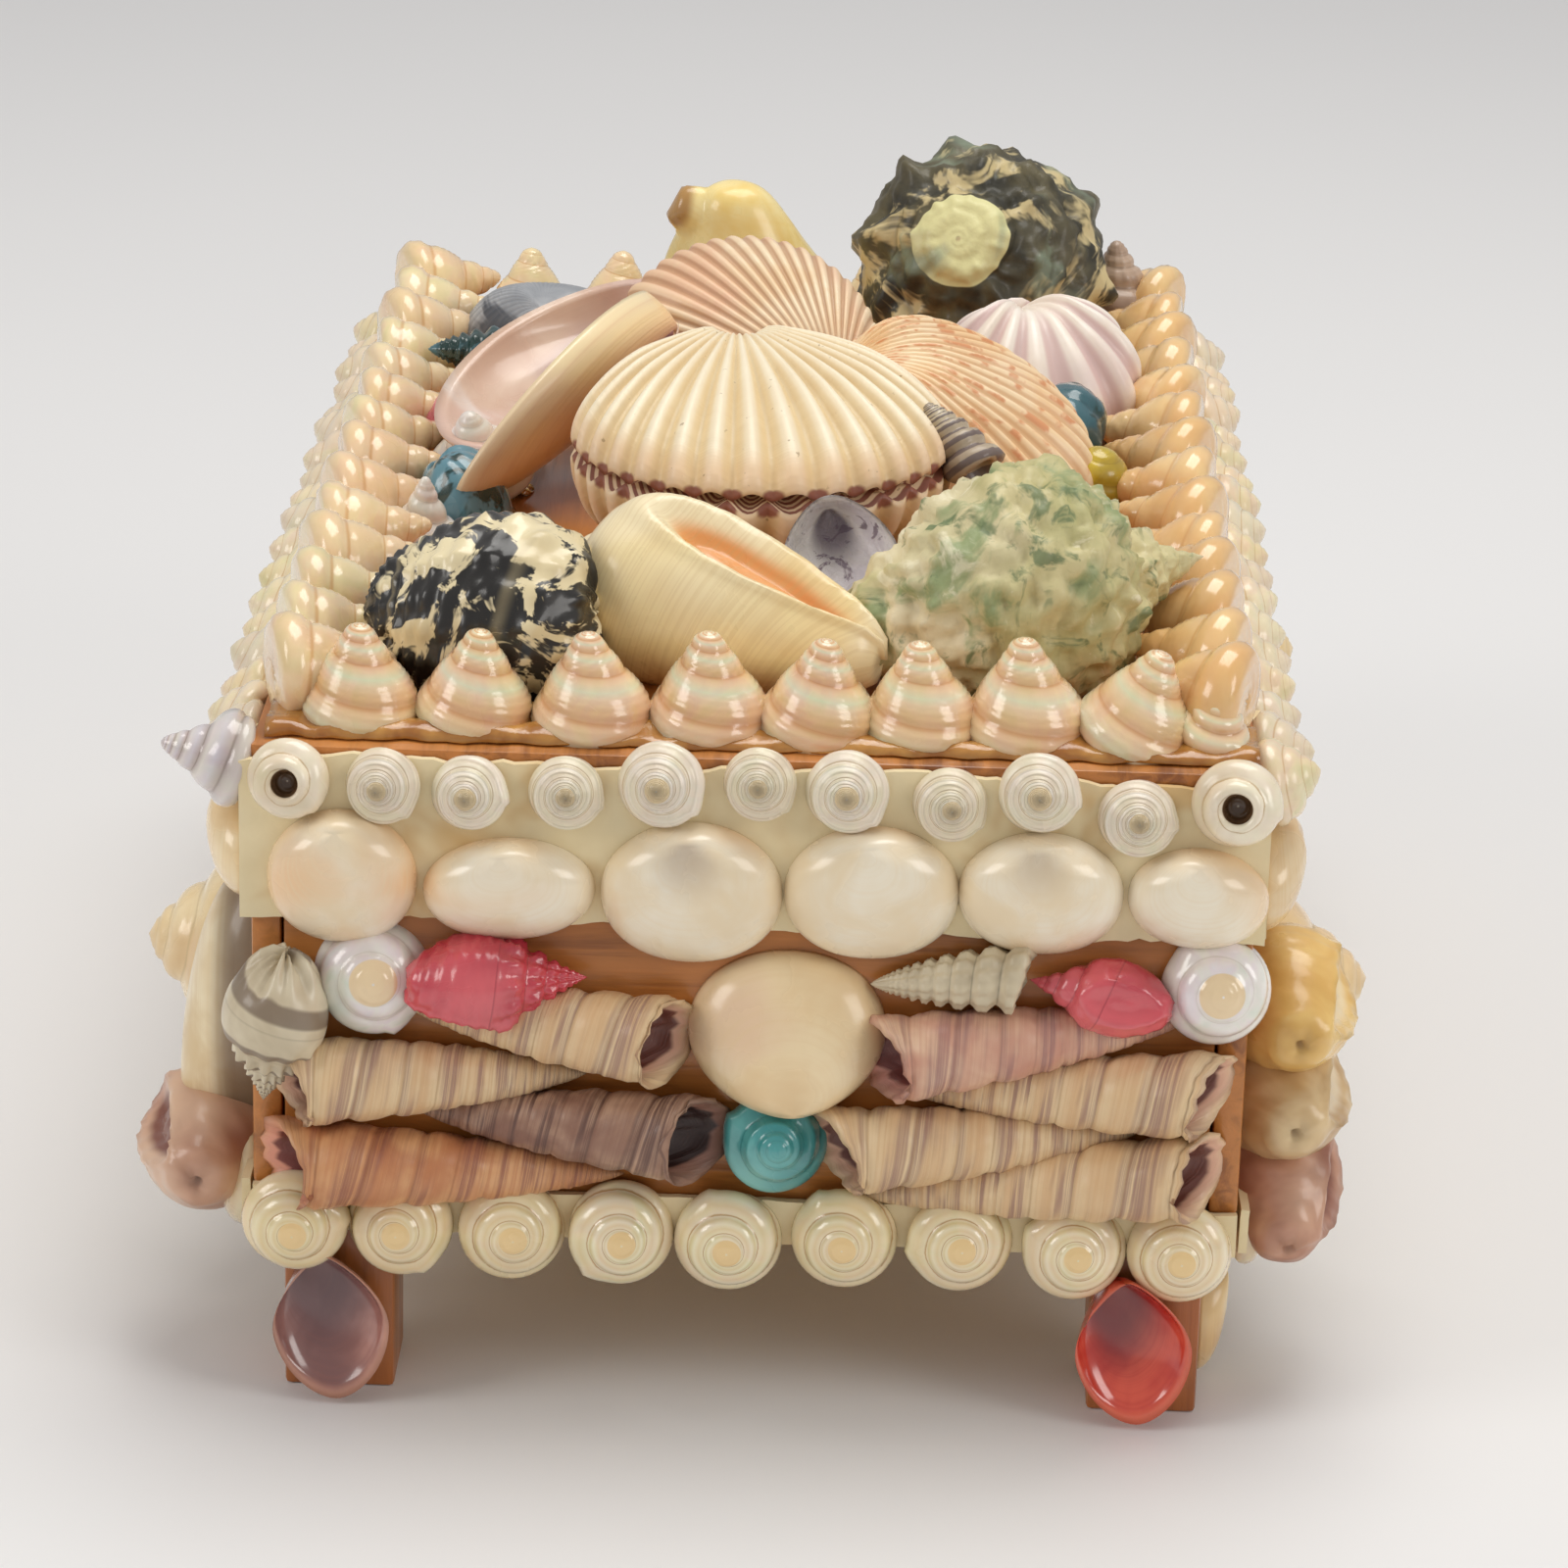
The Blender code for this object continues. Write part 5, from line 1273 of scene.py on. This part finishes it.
def make_teal_shells():
    """Three small shells coloured with teal varnish."""
    teal = shell_finish(
        "teal_varnished", srgb(78, 124, 136), srgb(38, 84, 94), seam_dark=0.5, coat=0.8, rough=0.22,
        spots=(70.0, 0.52, 0.58, srgb(14, 52, 48)), blush=srgb(96, 142, 158))
    half = valve("teal_half", 12.5, 10.5, 8.4, (0.0, -0.3), ribs=6, rib_rise=0.35, along=14)
    spot = facing(on_lid(-35.5, -9, 0), (1, -0.3, 0), (0, -0.2, 1))
    piece("teal_clam", [copy_of(half, spot)], teal, "teal_shell", "valve_teal")
    bubble = spiral(
        "bubble", NERITE_PROFILE, 4.7, 10, 2.4, 0.66, 0.12, 0.2, bumps(2.0, 0.09), around=40, along=32)
    spot = stand(on_lid(33.4, 10.5, 4.6), (0.12, 0.75, 0.5), (0, 0, 1), 150)
    piece("teal_bubble", [copy_of(bubble, spot)], teal, "teal_shell", "bubble_teal")
    auger = spiral(
        "teal_auger", AUGER_PROFILE, 3.0, 12.5, 1.35, 0.8, 0.5, 0.0, axial_ribs(9, 0.05, 2), around=32,
        along=60)
    spot = stand(on_lid(-31.5, 40, 6.5), (-1, -0.1, 0.06), (0, 0, 1), 90)
    piece("teal_auger_shell", [copy_of(auger, spot)], teal, "teal_shell")


def make_white_shells():
    """White top shell at the left, and a pearly cone in front of it."""
    look = shell_finish(
        "white_snail", srgb(248, 244, 238), srgb(230, 224, 214), pearl=0.15, coat=0.5, rough=0.25)
    mesh = spiral("white_snail", TOP_PROFILE, 6.0, 9.5, 1.9, 0.66, 0.24, 0.14, around=40, along=40)
    spot = stand(on_lid(-34.6, 3.5, 1.5), (-0.15, -0.35, 0.9), spin=120)
    piece("white_top_shell", [copy_of(mesh, spot)], look, "white_shell", "top_shell_white")
    small = spiral("pearly_cone", TOP_PROFILE, 3.6, 8.6, 1.8, 0.66, 0.2, 0.14, around=32, along=36)
    spot = stand(on_lid(-39.6, -19, 0.3), (0.05, -0.25, 1), spin=100)
    piece("pearly_cone_shell", [copy_of(small, spot)], look, "white_shell")


def make_silver_valve():
    """Hollow valve stood on its margin before the white cockle, crusted silver inside."""
    look = shell_finish(
        "silver_inside", srgb(250, 248, 252), srgb(226, 220, 232), seam_dark=0.0, coat=0.3, rough=0.3,
        grain=1.5, spots=(260.0, 0.60, 0.66, srgb(150, 136, 152)))
    crust = look.cloud(330.0, 5.0, 0.7, 0.4)
    # Painted shade: the inside darkens to purple-grey towards the beak, at the top of the bowl.
    near_beak = (1.0 - look.across().over(0.22, 0.5)) * look.mark("inside")
    look.paint(near_beak * 0.85, srgb(96, 82, 104))
    look.paint(look.across().over(0.93, 1.0) * 0.6, srgb(160, 142, 134))
    look.bump(crust, 0.9)
    half = valve("silver_half", 13, 16.5, 5.0, (0.0, -0.46), wall=0.8, square=2.0, narrow=0.25, around=60)
    spot = facing(on_lid(8.0, -50.2, 8.6), (0.22, -0.55, -0.8), (0, 0.8, -0.55))
    piece("silver_valve", [copy_of(half, spot)], look, "white_shell", "valve_silver")


def make_little_snails():
    """The smallest spiral shells, tucked between the large ones."""
    pink = shell_finish("pink_varnished", srgb(216, 116, 132), srgb(184, 78, 100), coat=0.5, rough=0.3)
    mesh = spiral("pink_snail", NERITE_PROFILE, 4.0, 7.0, 2.0, 0.66, 0.08, 0.1, around=36, along=30)
    spot = stand(on_lid(-37.4, 16.5, 2.2), (-0.2, -0.3, 1), spin=120)
    piece("pink_snail_shell", [copy_of(mesh, spot)], pink, "pink_shell")

    look = shell_finish("striped_spire", srgb(206, 192, 164), srgb(168, 150, 128), seam_dark=0.4, coat=0.2)
    stripe = (look.across() * (math.tau * 2)).sine().over(-0.1, 0.3)
    look.paint(stripe * 0.8, srgb(92, 78, 82))
    mesh = spiral(
        "striped_spire", AUGER_PROFILE, 2.9, 10.5, 1.4, 0.8, 0.4, 0.0, axial_ribs(16, 0.03), around=36,
        along=50)
    spot = stand(on_lid(22.8, -28, 13.2), (-0.62, 0.45, 0.62), (0, 0, 1))
    piece("striped_spire_shell", [copy_of(mesh, spot)], look, "dark_shell")

    look = shell_finish(
        "olive_snail", srgb(214, 190, 60), srgb(164, 138, 40), coat=0.5, rough=0.25, seam_dark=0.5)
    mesh = spiral("olive_snail", NERITE_PROFILE, 3.9, 7.6, 2.2, 0.66, 0.15, 0.15, around=32, along=28)
    spot = stand(on_lid(36.8, -1, 1.6), (0.1, -0.2, 1), spin=40)
    piece("olive_snail_shell", [copy_of(mesh, spot)], look, "yellow_shell")
    look = shell_finish("beige_pebble", srgb(228, 212, 164), srgb(206, 186, 134), coat=0.2, seam_dark=0.0)
    mesh = spiral("pebble_snail", NERITE_PROFILE, 4.2, 8.0, 2.2, 0.66, 0.1, 0.15, around=32, along=28)
    spot = stand(on_lid(14.5, 38, 2.4), (0.1, -0.3, 1), spin=70)
    piece("beige_snail_shell", [copy_of(mesh, spot)], look, "cream_shell")
    look = shell_finish("brown_spire", srgb(206, 182, 160), srgb(160, 132, 112), lines=0.5, seam_dark=0.5)
    mesh = spiral(
        "brown_spire", TOP_PROFILE, 6.2, 13.5, 1.7, 0.7, 0.3, 0.1, axial_ribs(12, 0.02, 3), around=40,
        along=44)
    spot = stand(on_lid(43.5, 80.5, 0.3), (-0.1, -0.1, 1), spin=70)
    piece("brown_spire_shell", [copy_of(mesh, spot)], look, "grey_shell")


def make_glue_mounds():
    """Set glue under the small shells on the lid, which holds them where they sit."""
    mounds = (
        (-31.5, 40, 11, 5.0), (-37.4, 16.5, 9, 2.4), (-34.6, 3.5, 12, 1.6), (-35.5, -9, 13, 1.2),
        (-39.6, -19, 8, 1.0), (33.4, 10.5, 10, 2.4), (36.8, -1, 9, 1.6), (14.5, 38, 10, 2.6),
        (43.5, 80.5, 11, 1.2), (6.6, -47, 12, 2.6), (-31, -47, 15, 1.0), (22.5, -29, 16, 10.5))
    meshes = []
    for x, y, width, height in mounds:
        mesh = spiral(
            "mound", MOUND_PROFILE, width / 2, height, 2.0, 0.8, 0.0, 0.0, bumps(2.2, 0.16), around=28,
            along=16)
        meshes.append(copy_of(mesh, Matrix.Translation(on_lid(x, y, 0.25))))
    piece("glue_mounds", meshes, glue_look, "amber_shell")


def make_middle_clam():
    """Cream clam and the teal top shell in the middle of the front."""
    where = face("front")
    look = shell_finish(
        "cream_clam", srgb(246, 224, 182), srgb(236, 206, 158), seam_dark=0.0, lines=0.3, coat=0.45,
        rough=0.26, grain=0.02, blush=srgb(238, 206, 172))
    mesh = valve("middle_clam", 20.4, 17.4, 6.2, (0.04, -0.44), square=2.1, narrow=0.1)
    spot = facing(millimetres(3.9, 42.4, 0), (0.03, -1, 0), (0, 0, 1))
    piece(
        "middle_clam_shell", [copy_of(mesh, where @ spot @ Matrix.Rotation(math.pi, 4, "Z"))], look,
        "cream_shell", "clam_front")
    teal = shell_finish(
        "teal_top_shell", srgb(108, 190, 186), srgb(56, 146, 148), coat=0.8, rough=0.2, seam_dark=0.6,
        blush=srgb(150, 214, 206))
    mesh = spiral(
        "teal_top", DISC_PROFILE, 5.2, 6.2, 1.85, 0.62, 0.3, 0.16, fine_ridges(2, 0.02), around=48,
        along=40)
    spot = stand(millimetres(2.8, 30.2, 0), (0.1, 0.15, 1), (0, 1, 0), 60)
    piece("teal_top_shell", [copy_of(mesh, where @ spot)], teal, "teal_shell", "spiral_teal")


def make_pearl_and_crimson_shells():
    """Two pearl top shells and two crimson whelks along the top of the front."""
    where = face("front")
    pearl = shell_finish(
        "pearl_top_shell", srgb(248, 246, 242), srgb(226, 222, 214), pearl=0.3, coat=0.8, rough=0.18,
        seam_dark=0.5, inside=srgb(240, 214, 172), seam_colour=srgb(206, 196, 184))
    discs = []
    for u, v, radius, spin in ((-38.8, 45.6, 5.9, 200), (47.5, 47.2, 5.6, 30)):
        mesh = spiral(
            "pearl_disc", BUTTON_PROFILE, radius, 6.0, 1.85, 0.62, 0.18, 0.14, worn=0.17, around=48,
            along=36)
        discs.append(
            copy_of(mesh, where @ stand(millimetres(u, v + 1.2, -0.2), (0.1, 0.2, 1), (0, 1, 0), spin)))
    piece(
        "pearl_top_shells_front", discs, pearl, "white_shell", "small_shells_front_left",
        "small_shells_front_right")

    red = shell_finish(
        "crimson_shell", srgb(214, 70, 84), srgb(168, 34, 56), coat=0.7, rough=0.25, seam_dark=0.5,
        blush=srgb(232, 110, 116))
    ribbed = spiral(
        "ribbed_whelk", OVAL_PROFILE, 4.5, 17.5, 1.5, 0.46, 0.26, 0.1, axial_ribs(11, 0.07, 4),
        mouth=(0.7, 0.5, 0.2, 0.07, 0.3), around=66, along=60)
    start, end = millimetres(-34.0, 47.6, 4.2), millimetres(-17.4, 48.2, 2.4)
    reds = [copy_of(ribbed, where @ stand(start, end - start, (0, -1, 0.35), 180))]
    smooth_shell = spiral(
        "crimson_whelk", OVAL_PROFILE, 3.6, 14.2, 1.7, 0.4, 0.2, 0.1, bumps(3.0, 0.06),
        mouth=(0.62, 0.5, 0.2, 0.07, 0.25), around=48, along=44)
    start, end = millimetres(42.4, 47.0, 3.2), millimetres(28.4, 49.6, 2.4)
    reds.append(copy_of(smooth_shell, where @ stand(start, end - start, (0, 0.4, 1), 170)))
    piece("crimson_shells", reds, red, "red_shell", "small_shells_front_left", "small_shells_front_right")


def make_banded_whelk():
    """Banded whelk with a ribbed spire at the front's left edge."""
    where = face("front")
    banded = shell_finish(
        "banded_whelk", srgb(226, 214, 186), srgb(196, 180, 150), coat=0.3, rough=0.35, seam_dark=0.4,
        inside=srgb(190, 160, 128))
    stripe = (banded.across() * math.tau - 0.6).sine().over(0.35, 0.75)
    banded.paint(stripe * 0.75, srgb(104, 82, 66))

    def ribs_on_spire(turn, across, share, spot):
        return axial_ribs(12, 0.08, 2)(turn, across, share, spot) * max(0.0, min(1.0, (0.5 - share) * 6))

    mesh = spiral(
        "banded_whelk", OVAL_PROFILE, 4.8, 15.8, 1.6, 0.42, 0.26, 0.1, ribs_on_spire, ragged=1.8,
        around=72, along=60)
    start, end = millimetres(-47.4, 49.6, 4.2), millimetres(-49.8, 33.8, 3.6)
    piece(
        "banded_whelk_shell", [copy_of(mesh, where @ stand(start, end - start, (1, 0.2, 0.6), 180))],
        banded, "grey_shell", "small_shells_front_left")


def make_beaded_auger():
    """Short beaded auger at the top right of the front."""
    where = face("front")
    look = shell_finish(
        "beaded_auger", srgb(214, 200, 170), srgb(180, 164, 134), coat=0.15, rough=0.45, seam_dark=0.6,
        inside=srgb(150, 130, 100))
    mesh = spiral(
        "beaded_auger", AUGER_PROFILE, 3.0, 16.5, 1.26, 0.82, 0.35, 0.0, axial_ribs(12, 0.07, 3),
        ragged=0.8, slant=1.0, inner=0.80, around=60, along=90)
    start, end = millimetres(28.6, 50.0, 3.0), millimetres(12.3, 48.2, 1.6)
    piece(
        "beaded_auger_shell", [copy_of(mesh, where @ stand(start, end - start, (0, 0, 1), 90))], look,
        "grey_shell", "small_shells_front_right")


side_clam_look = shell_finish(
    "side_clam", srgb(246, 228, 190), srgb(234, 206, 160), seam_dark=0.0, lines=0.35, coat=0.4,
    rough=0.28, grain=0.02, blush=srgb(226, 178, 136))
waxy_look = shell_finish(
    "waxy_snail", srgb(246, 226, 184), srgb(232, 204, 152), coat=0.4, rough=0.28, seam_dark=0.5,
    blush=srgb(222, 186, 140), lines=0.15)
snail_mesh = spiral("round_snail", DISC_PROFILE, 11.6, 15.5, 1.9, 0.64, 0.24, 0.18, around=60, along=40)


def laid(mesh, where, start, end, toward=(0, 0, 1), spin=180.0):
    """A copy of a shell laid on one side of the box, from its wide end to its tip."""
    return copy_of(mesh, where @ stand(start, end - start, toward, spin))


def round_snail(where, u, lean, spin):
    """A round shell glued on its mouth that stands far out from a long side."""
    return copy_of(snail_mesh, where @ stand(millimetres(u, 36, -0.3), lean, (0, 1, 0), spin))


def make_middle_side_shells():
    """A clam between crossed augers on each long side, and a row of clams on the back."""
    auger_look = shell_finish(
        "side_auger", srgb(234, 208, 166), srgb(212, 170, 124), streak=0.75, blush=srgb(150, 112, 104),
        inside=srgb(206, 148, 122), coat=0.15, rough=0.4)
    for side in ("left", "right"):
        where = face(side)
        clam = valve("side_middle_clam", 23.5, 21.5, 7.2, (0.02, -0.44), square=2.1, narrow=0.1)
        turn = facing(millimetres(0, 39, 0), (0, -1, 0), (0, 0, 1)) @ Matrix.Rotation(math.pi, 4, "Z")
        clams = [copy_of(clam, where @ turn)]
        augers = []
        for way in (-1, 1):
            for start, end, radius in (((36, 42), (8, 39.5), 4.5), ((11, 31), (37, 38), 4.3)):
                big = millimetres(way * start[0], start[1], radius * 0.92)
                tip = millimetres(way * end[0], end[1], 1.2)
                mesh = spiral(
                    "side_auger", AUGER_PROFILE, radius, (tip - big).length / MM, 1.24, 0.82, 0.12, 0.0,
                    thread_lines, ragged=1.0, slant=1.0, inner=0.80, around=32, along=80)
                augers.append(laid(mesh, where, big, tip, spin=360 * chance.random()))
        piece("middle_clam_" + side, clams, side_clam_look, "cream_shell", "shells_middle_" + side)
        piece("middle_augers_" + side, augers, auger_look, "tan_shell", "shells_middle_" + side)
    where = face("back")
    clams = []
    for u in (-34.5, -11.5, 11.5, 34.5):
        clam = valve("back_clam", 24, 20, 7.0, (0.02, -0.44), square=2.1, narrow=0.1)
        spot = facing(millimetres(u, 39, 0), (0, 1, 0), (0, 0, 1))
        clams.append(copy_of(clam, where @ spot))
    piece("back_clam_row", clams, side_clam_look, "cream_shell", "clams_back")


def make_back_side_shells():
    """A clam and a round shell at the back end of each long side."""
    for side, way in (("left", -1), ("right", 1)):
        where = face(side)
        node = "shells_back_" + side
        clam = valve("stack_clam", 25, 25, 8.0, (0.0, -0.44), square=2.1, narrow=0.1)
        spot = facing(millimetres(73 * way, 39, 0), (0, 1, 0), (0, 0, 1))
        piece("back_clam_" + side, [copy_of(clam, where @ spot)], side_clam_look, "peach_shell", node)
        snail = round_snail(where, 54.969 * way, (0.08 * way, 0.12, 1), 200)
        piece("back_snail_" + side, [snail], waxy_look, "cream_shell", node)


def make_front_side_shells():
    """Shells at the front end of each long side: a tall clam at the left, whelks at the right."""
    brown = shell_finish(
        "brown_whelk", srgb(206, 156, 128), srgb(162, 108, 88), coat=0.3, rough=0.35, seam_dark=0.5,
        blush=srgb(226, 190, 160), inside=srgb(132, 78, 60))
    beaded = shell_finish(
        "tan_nassa", srgb(226, 198, 150), srgb(192, 154, 104), coat=0.3, rough=0.35, seam_dark=0.5,
        blush=srgb(150, 106, 72), inside=srgb(240, 222, 190))
    golden = shell_finish(
        "golden_whelk", srgb(240, 204, 128), srgb(222, 176, 96), coat=0.4, rough=0.3, seam_dark=0.4,
        inside=srgb(246, 224, 180))
    dark_edge = shell_finish(
        "dark_edged_clam", srgb(242, 226, 190), srgb(222, 196, 150), seam_dark=0.0, lines=0.5, coat=0.3,
        rough=0.35)
    dark_edge.paint(dark_edge.across().over(0.82, 0.97) * 0.8, srgb(92, 66, 48))
    whelk = spiral(
        "side_whelk", WHELK_PROFILE, 6.6, 23, 1.8, 0.3, 0.28, 0.1, axial_ribs(12, 0.04, 4),
        mouth=(0.64, 0.5, 0.22, 0.075, 0.35), around=60, along=48)
    where = face("left")
    tall = valve("tall_valve", 19, 33, 9.2, (0.0, -0.46), square=2.0, narrow=0.55)
    spot = facing(millimetres(73, 37.5, 0), (0.06, 1, 0), (0, 0, 1))
    piece("tall_clam_left", [copy_of(tall, where @ spot)], dark_edge, "cream_shell", "shells_front_left")
    snail = round_snail(where, 55, (0.05, 0.1, 1), 120)
    piece("front_snail_left", [snail], waxy_look, "cream_shell", "shells_front_left")
    tip, big = millimetres(64, 22.2, 6.0), millimetres(85, 22.0, 6.2)
    lying = laid(whelk, where, big, tip, (0, 0.5, 1))
    piece("front_whelk_left", [lying], brown, "mauve_shell", "shells_front_left")
    where = face("right")
    snail = round_snail(where, -58, (0.05, 0.1, 1), 120)
    piece("front_snail_right", [snail], waxy_look, "cream_shell", "shells_front_right")
    for name, start, end, look in (
        ("golden_whelk_right", (-85, 41.5), (-60, 42.8), golden),
        ("nassa_right", (-85.5, 31.8), (-62, 33), beaded),
        ("brown_whelk_right", (-85, 19), (-65, 27), brown),
    ):
        big, tip = millimetres(start[0], start[1], 5.6), millimetres(end[0], end[1], 3.6)
        piece(name, [laid(whelk, where, big, tip, (0.2, 0.3, 1))], look, "tan_shell", "shells_front_right")


def make_leg_shells():
    """A small hollow valve on the outside of each leg."""
    mauve = shell_finish(
        "mauve_leg_valve", srgb(206, 150, 136), srgb(150, 96, 86), seam_dark=0.0, lines=0.3, coat=0.8,
        rough=0.16, grain=0.02, blush=srgb(120, 84, 84))
    red = shell_finish(
        "red_leg_valve", srgb(232, 92, 66), srgb(196, 44, 34), seam_dark=0.0, lines=0.3, coat=0.9,
        rough=0.12, grain=0.02, blush=srgb(120, 30, 30))
    # Painted shade inside each valve: dark patches towards the beak at the top of the bowl; a painted
    # highlight makes the rim lighter.
    for look, deep, rim in ((mauve, srgb(88, 62, 72), srgb(222, 160, 132)),
                            (red, srgb(84, 20, 28), srgb(244, 120, 84))):
        share = look.across()
        hollow = look.cloud(60.0, 2.0).over(0.3, 0.6) * (1.0 - share.over(0.35, 0.85)) * look.mark("inside")
        look.paint(hollow * 0.75, deep)
        look.paint(share.over(0.93, 0.99) * 0.7, rim)
    for node, x, end, look, slot in (
        ("leg_shell_front_left", -42.8, -1, mauve, "mauve_shell"),
        ("leg_shell_front_right", 41.0, -1, red, "red_shell"),
        ("leg_shell_back_left", -42.3, 1, mauve, "mauve_shell"),
        ("leg_shell_back_right", 42.3, 1, red, "red_shell"),
    ):
        mesh = valve(
            "leg_valve", 12.2, 15.8, 3.9, (-0.2, -0.47), wall=0.7, square=1.75, narrow=0.35, around=60)
        spot = facing(millimetres(x, end * LEG_FACE, 8.6), (0.1, 0.06 * end, -1), (0, -end, 0))
        piece(node + "_valve", [copy_of(mesh, spot)], look, slot, node)
    straw = shell_finish(
        "straw_clam", srgb(248, 232, 186), srgb(232, 200, 140), seam_dark=0.0, lines=0.4, coat=0.4,
        rough=0.3, blush=srgb(206, 166, 116))
    mesh = valve("hanging_clam", 9.0, 12.4, 3.2, (0.0, -0.44), narrow=0.3, around=48, along=14)
    spot = facing(millimetres(48.3, -79.6, 7.4), (0, -0.15, -1), (1, 0, 0))
    piece("hanging_clam_right", [copy_of(mesh, spot)], straw, "yellow_shell")


make_boards()
make_lid_front()
make_bottom_row()
make_front_augers()
make_front_row()
make_long_rows()
make_back_row()
make_side_bands()
make_cream_cockle()
make_tan_cockle()
make_orange_cockle()
make_open_clam()
make_nerite()
make_cream_whelk()
make_rock_shell()
make_turban()
make_yellow_clam()
make_pink_scallop()
make_low_valves()
make_teal_shells()
make_white_shells()
make_silver_valve()
make_little_snails()
make_glue_mounds()
make_middle_clam()
make_pearl_and_crimson_shells()
make_banded_whelk()
make_beaded_auger()
make_middle_side_shells()
make_back_side_shells()
make_front_side_shells()
make_leg_shells()

# Floor, light and camera
FLOOR_SIZE = 6.0
WORLD_COLOUR = (1.0, 0.985, 0.985, 1.0)
WORLD_STRENGTH = 0.42
LIT_POINT = (0, 0, 0.05)

clear_selection()
bpy.ops.mesh.primitive_plane_add(size=FLOOR_SIZE, location=(0, 0, 0))
studio_floor = bpy.context.object
studio_floor.name = "studio_floor"
floor_look = Finish("pale_floor", 0.5)
floor_look.set("Base Color", floor_look.mix(floor_look.cloud(3.0), (0.80, 0.80, 0.81), (0.84, 0.84, 0.84)))
studio_floor.data.materials.append(floor_look.material)

world = bpy.data.worlds.new("studio")
bpy.context.scene.world = world
world.use_nodes = True
world.node_tree.nodes["Background"].inputs[0].default_value = WORLD_COLOUR
world.node_tree.nodes["Background"].inputs[1].default_value = WORLD_STRENGTH


def soft_light(name, at, size, power, colour):
    """A square lamp that shines on the box; sizes in metres, power in watts."""
    lamp = bpy.data.lights.new(name, "AREA")
    lamp.size = size
    lamp.energy = power
    lamp.color = colour
    item = bpy.data.objects.new(name, lamp)
    bpy.context.scene.collection.objects.link(item)
    aim_at = (Vector(LIT_POINT) - Vector(at)).to_track_quat("-Z", "Y")
    item.matrix_world = Matrix.Translation(at) @ aim_at.to_matrix().to_4x4()


soft_light("top_light", (0.1, 0.15, 0.9), 0.6, 4.7, (1.0, 0.98, 0.94))
soft_light("left_light", (-0.8, -0.4, 0.5), 0.4, 2.3, (1.0, 0.97, 0.93))
soft_light("right_light", (0.8, -0.5, 0.45), 0.4, 2.1, (1.0, 0.97, 0.93))

# The camera looks down at the front, level but for a small roll
VIEW_TURN = 0.011185
VIEW_HEIGHT = 0.344532
VIEW_ROLL = 0.027934
VIEW_TARGET = Vector((1.88924, 0.0, 37.18274)) * MM
VIEW_DISTANCE = 0.632161
SENSOR_WIDTH = 36
LENS = 122.02
NEAREST_SEEN = 0.01
back = Vector((math.sin(VIEW_TURN) * math.cos(VIEW_HEIGHT), -math.cos(VIEW_TURN) * math.cos(VIEW_HEIGHT),
               math.sin(VIEW_HEIGHT)))
right = Vector((math.cos(VIEW_TURN), math.sin(VIEW_TURN), 0))
up = back.cross(right)
rolled_right = math.cos(VIEW_ROLL) * right + math.sin(VIEW_ROLL) * up
rolled_up = -math.sin(VIEW_ROLL) * right + math.cos(VIEW_ROLL) * up
camera = bpy.data.objects.new("camera", bpy.data.cameras.new("camera"))
bpy.context.scene.collection.objects.link(camera)
turned = Matrix((rolled_right, rolled_up, back)).transposed().to_4x4()
camera.matrix_world = Matrix.Translation(VIEW_TARGET + back * VIEW_DISTANCE) @ turned
camera.data.sensor_width = SENSOR_WIDTH
camera.data.lens = LENS
camera.data.clip_start = NEAREST_SEEN
bpy.context.scene.camera = camera
bpy.context.scene.view_settings.view_transform = "Standard"
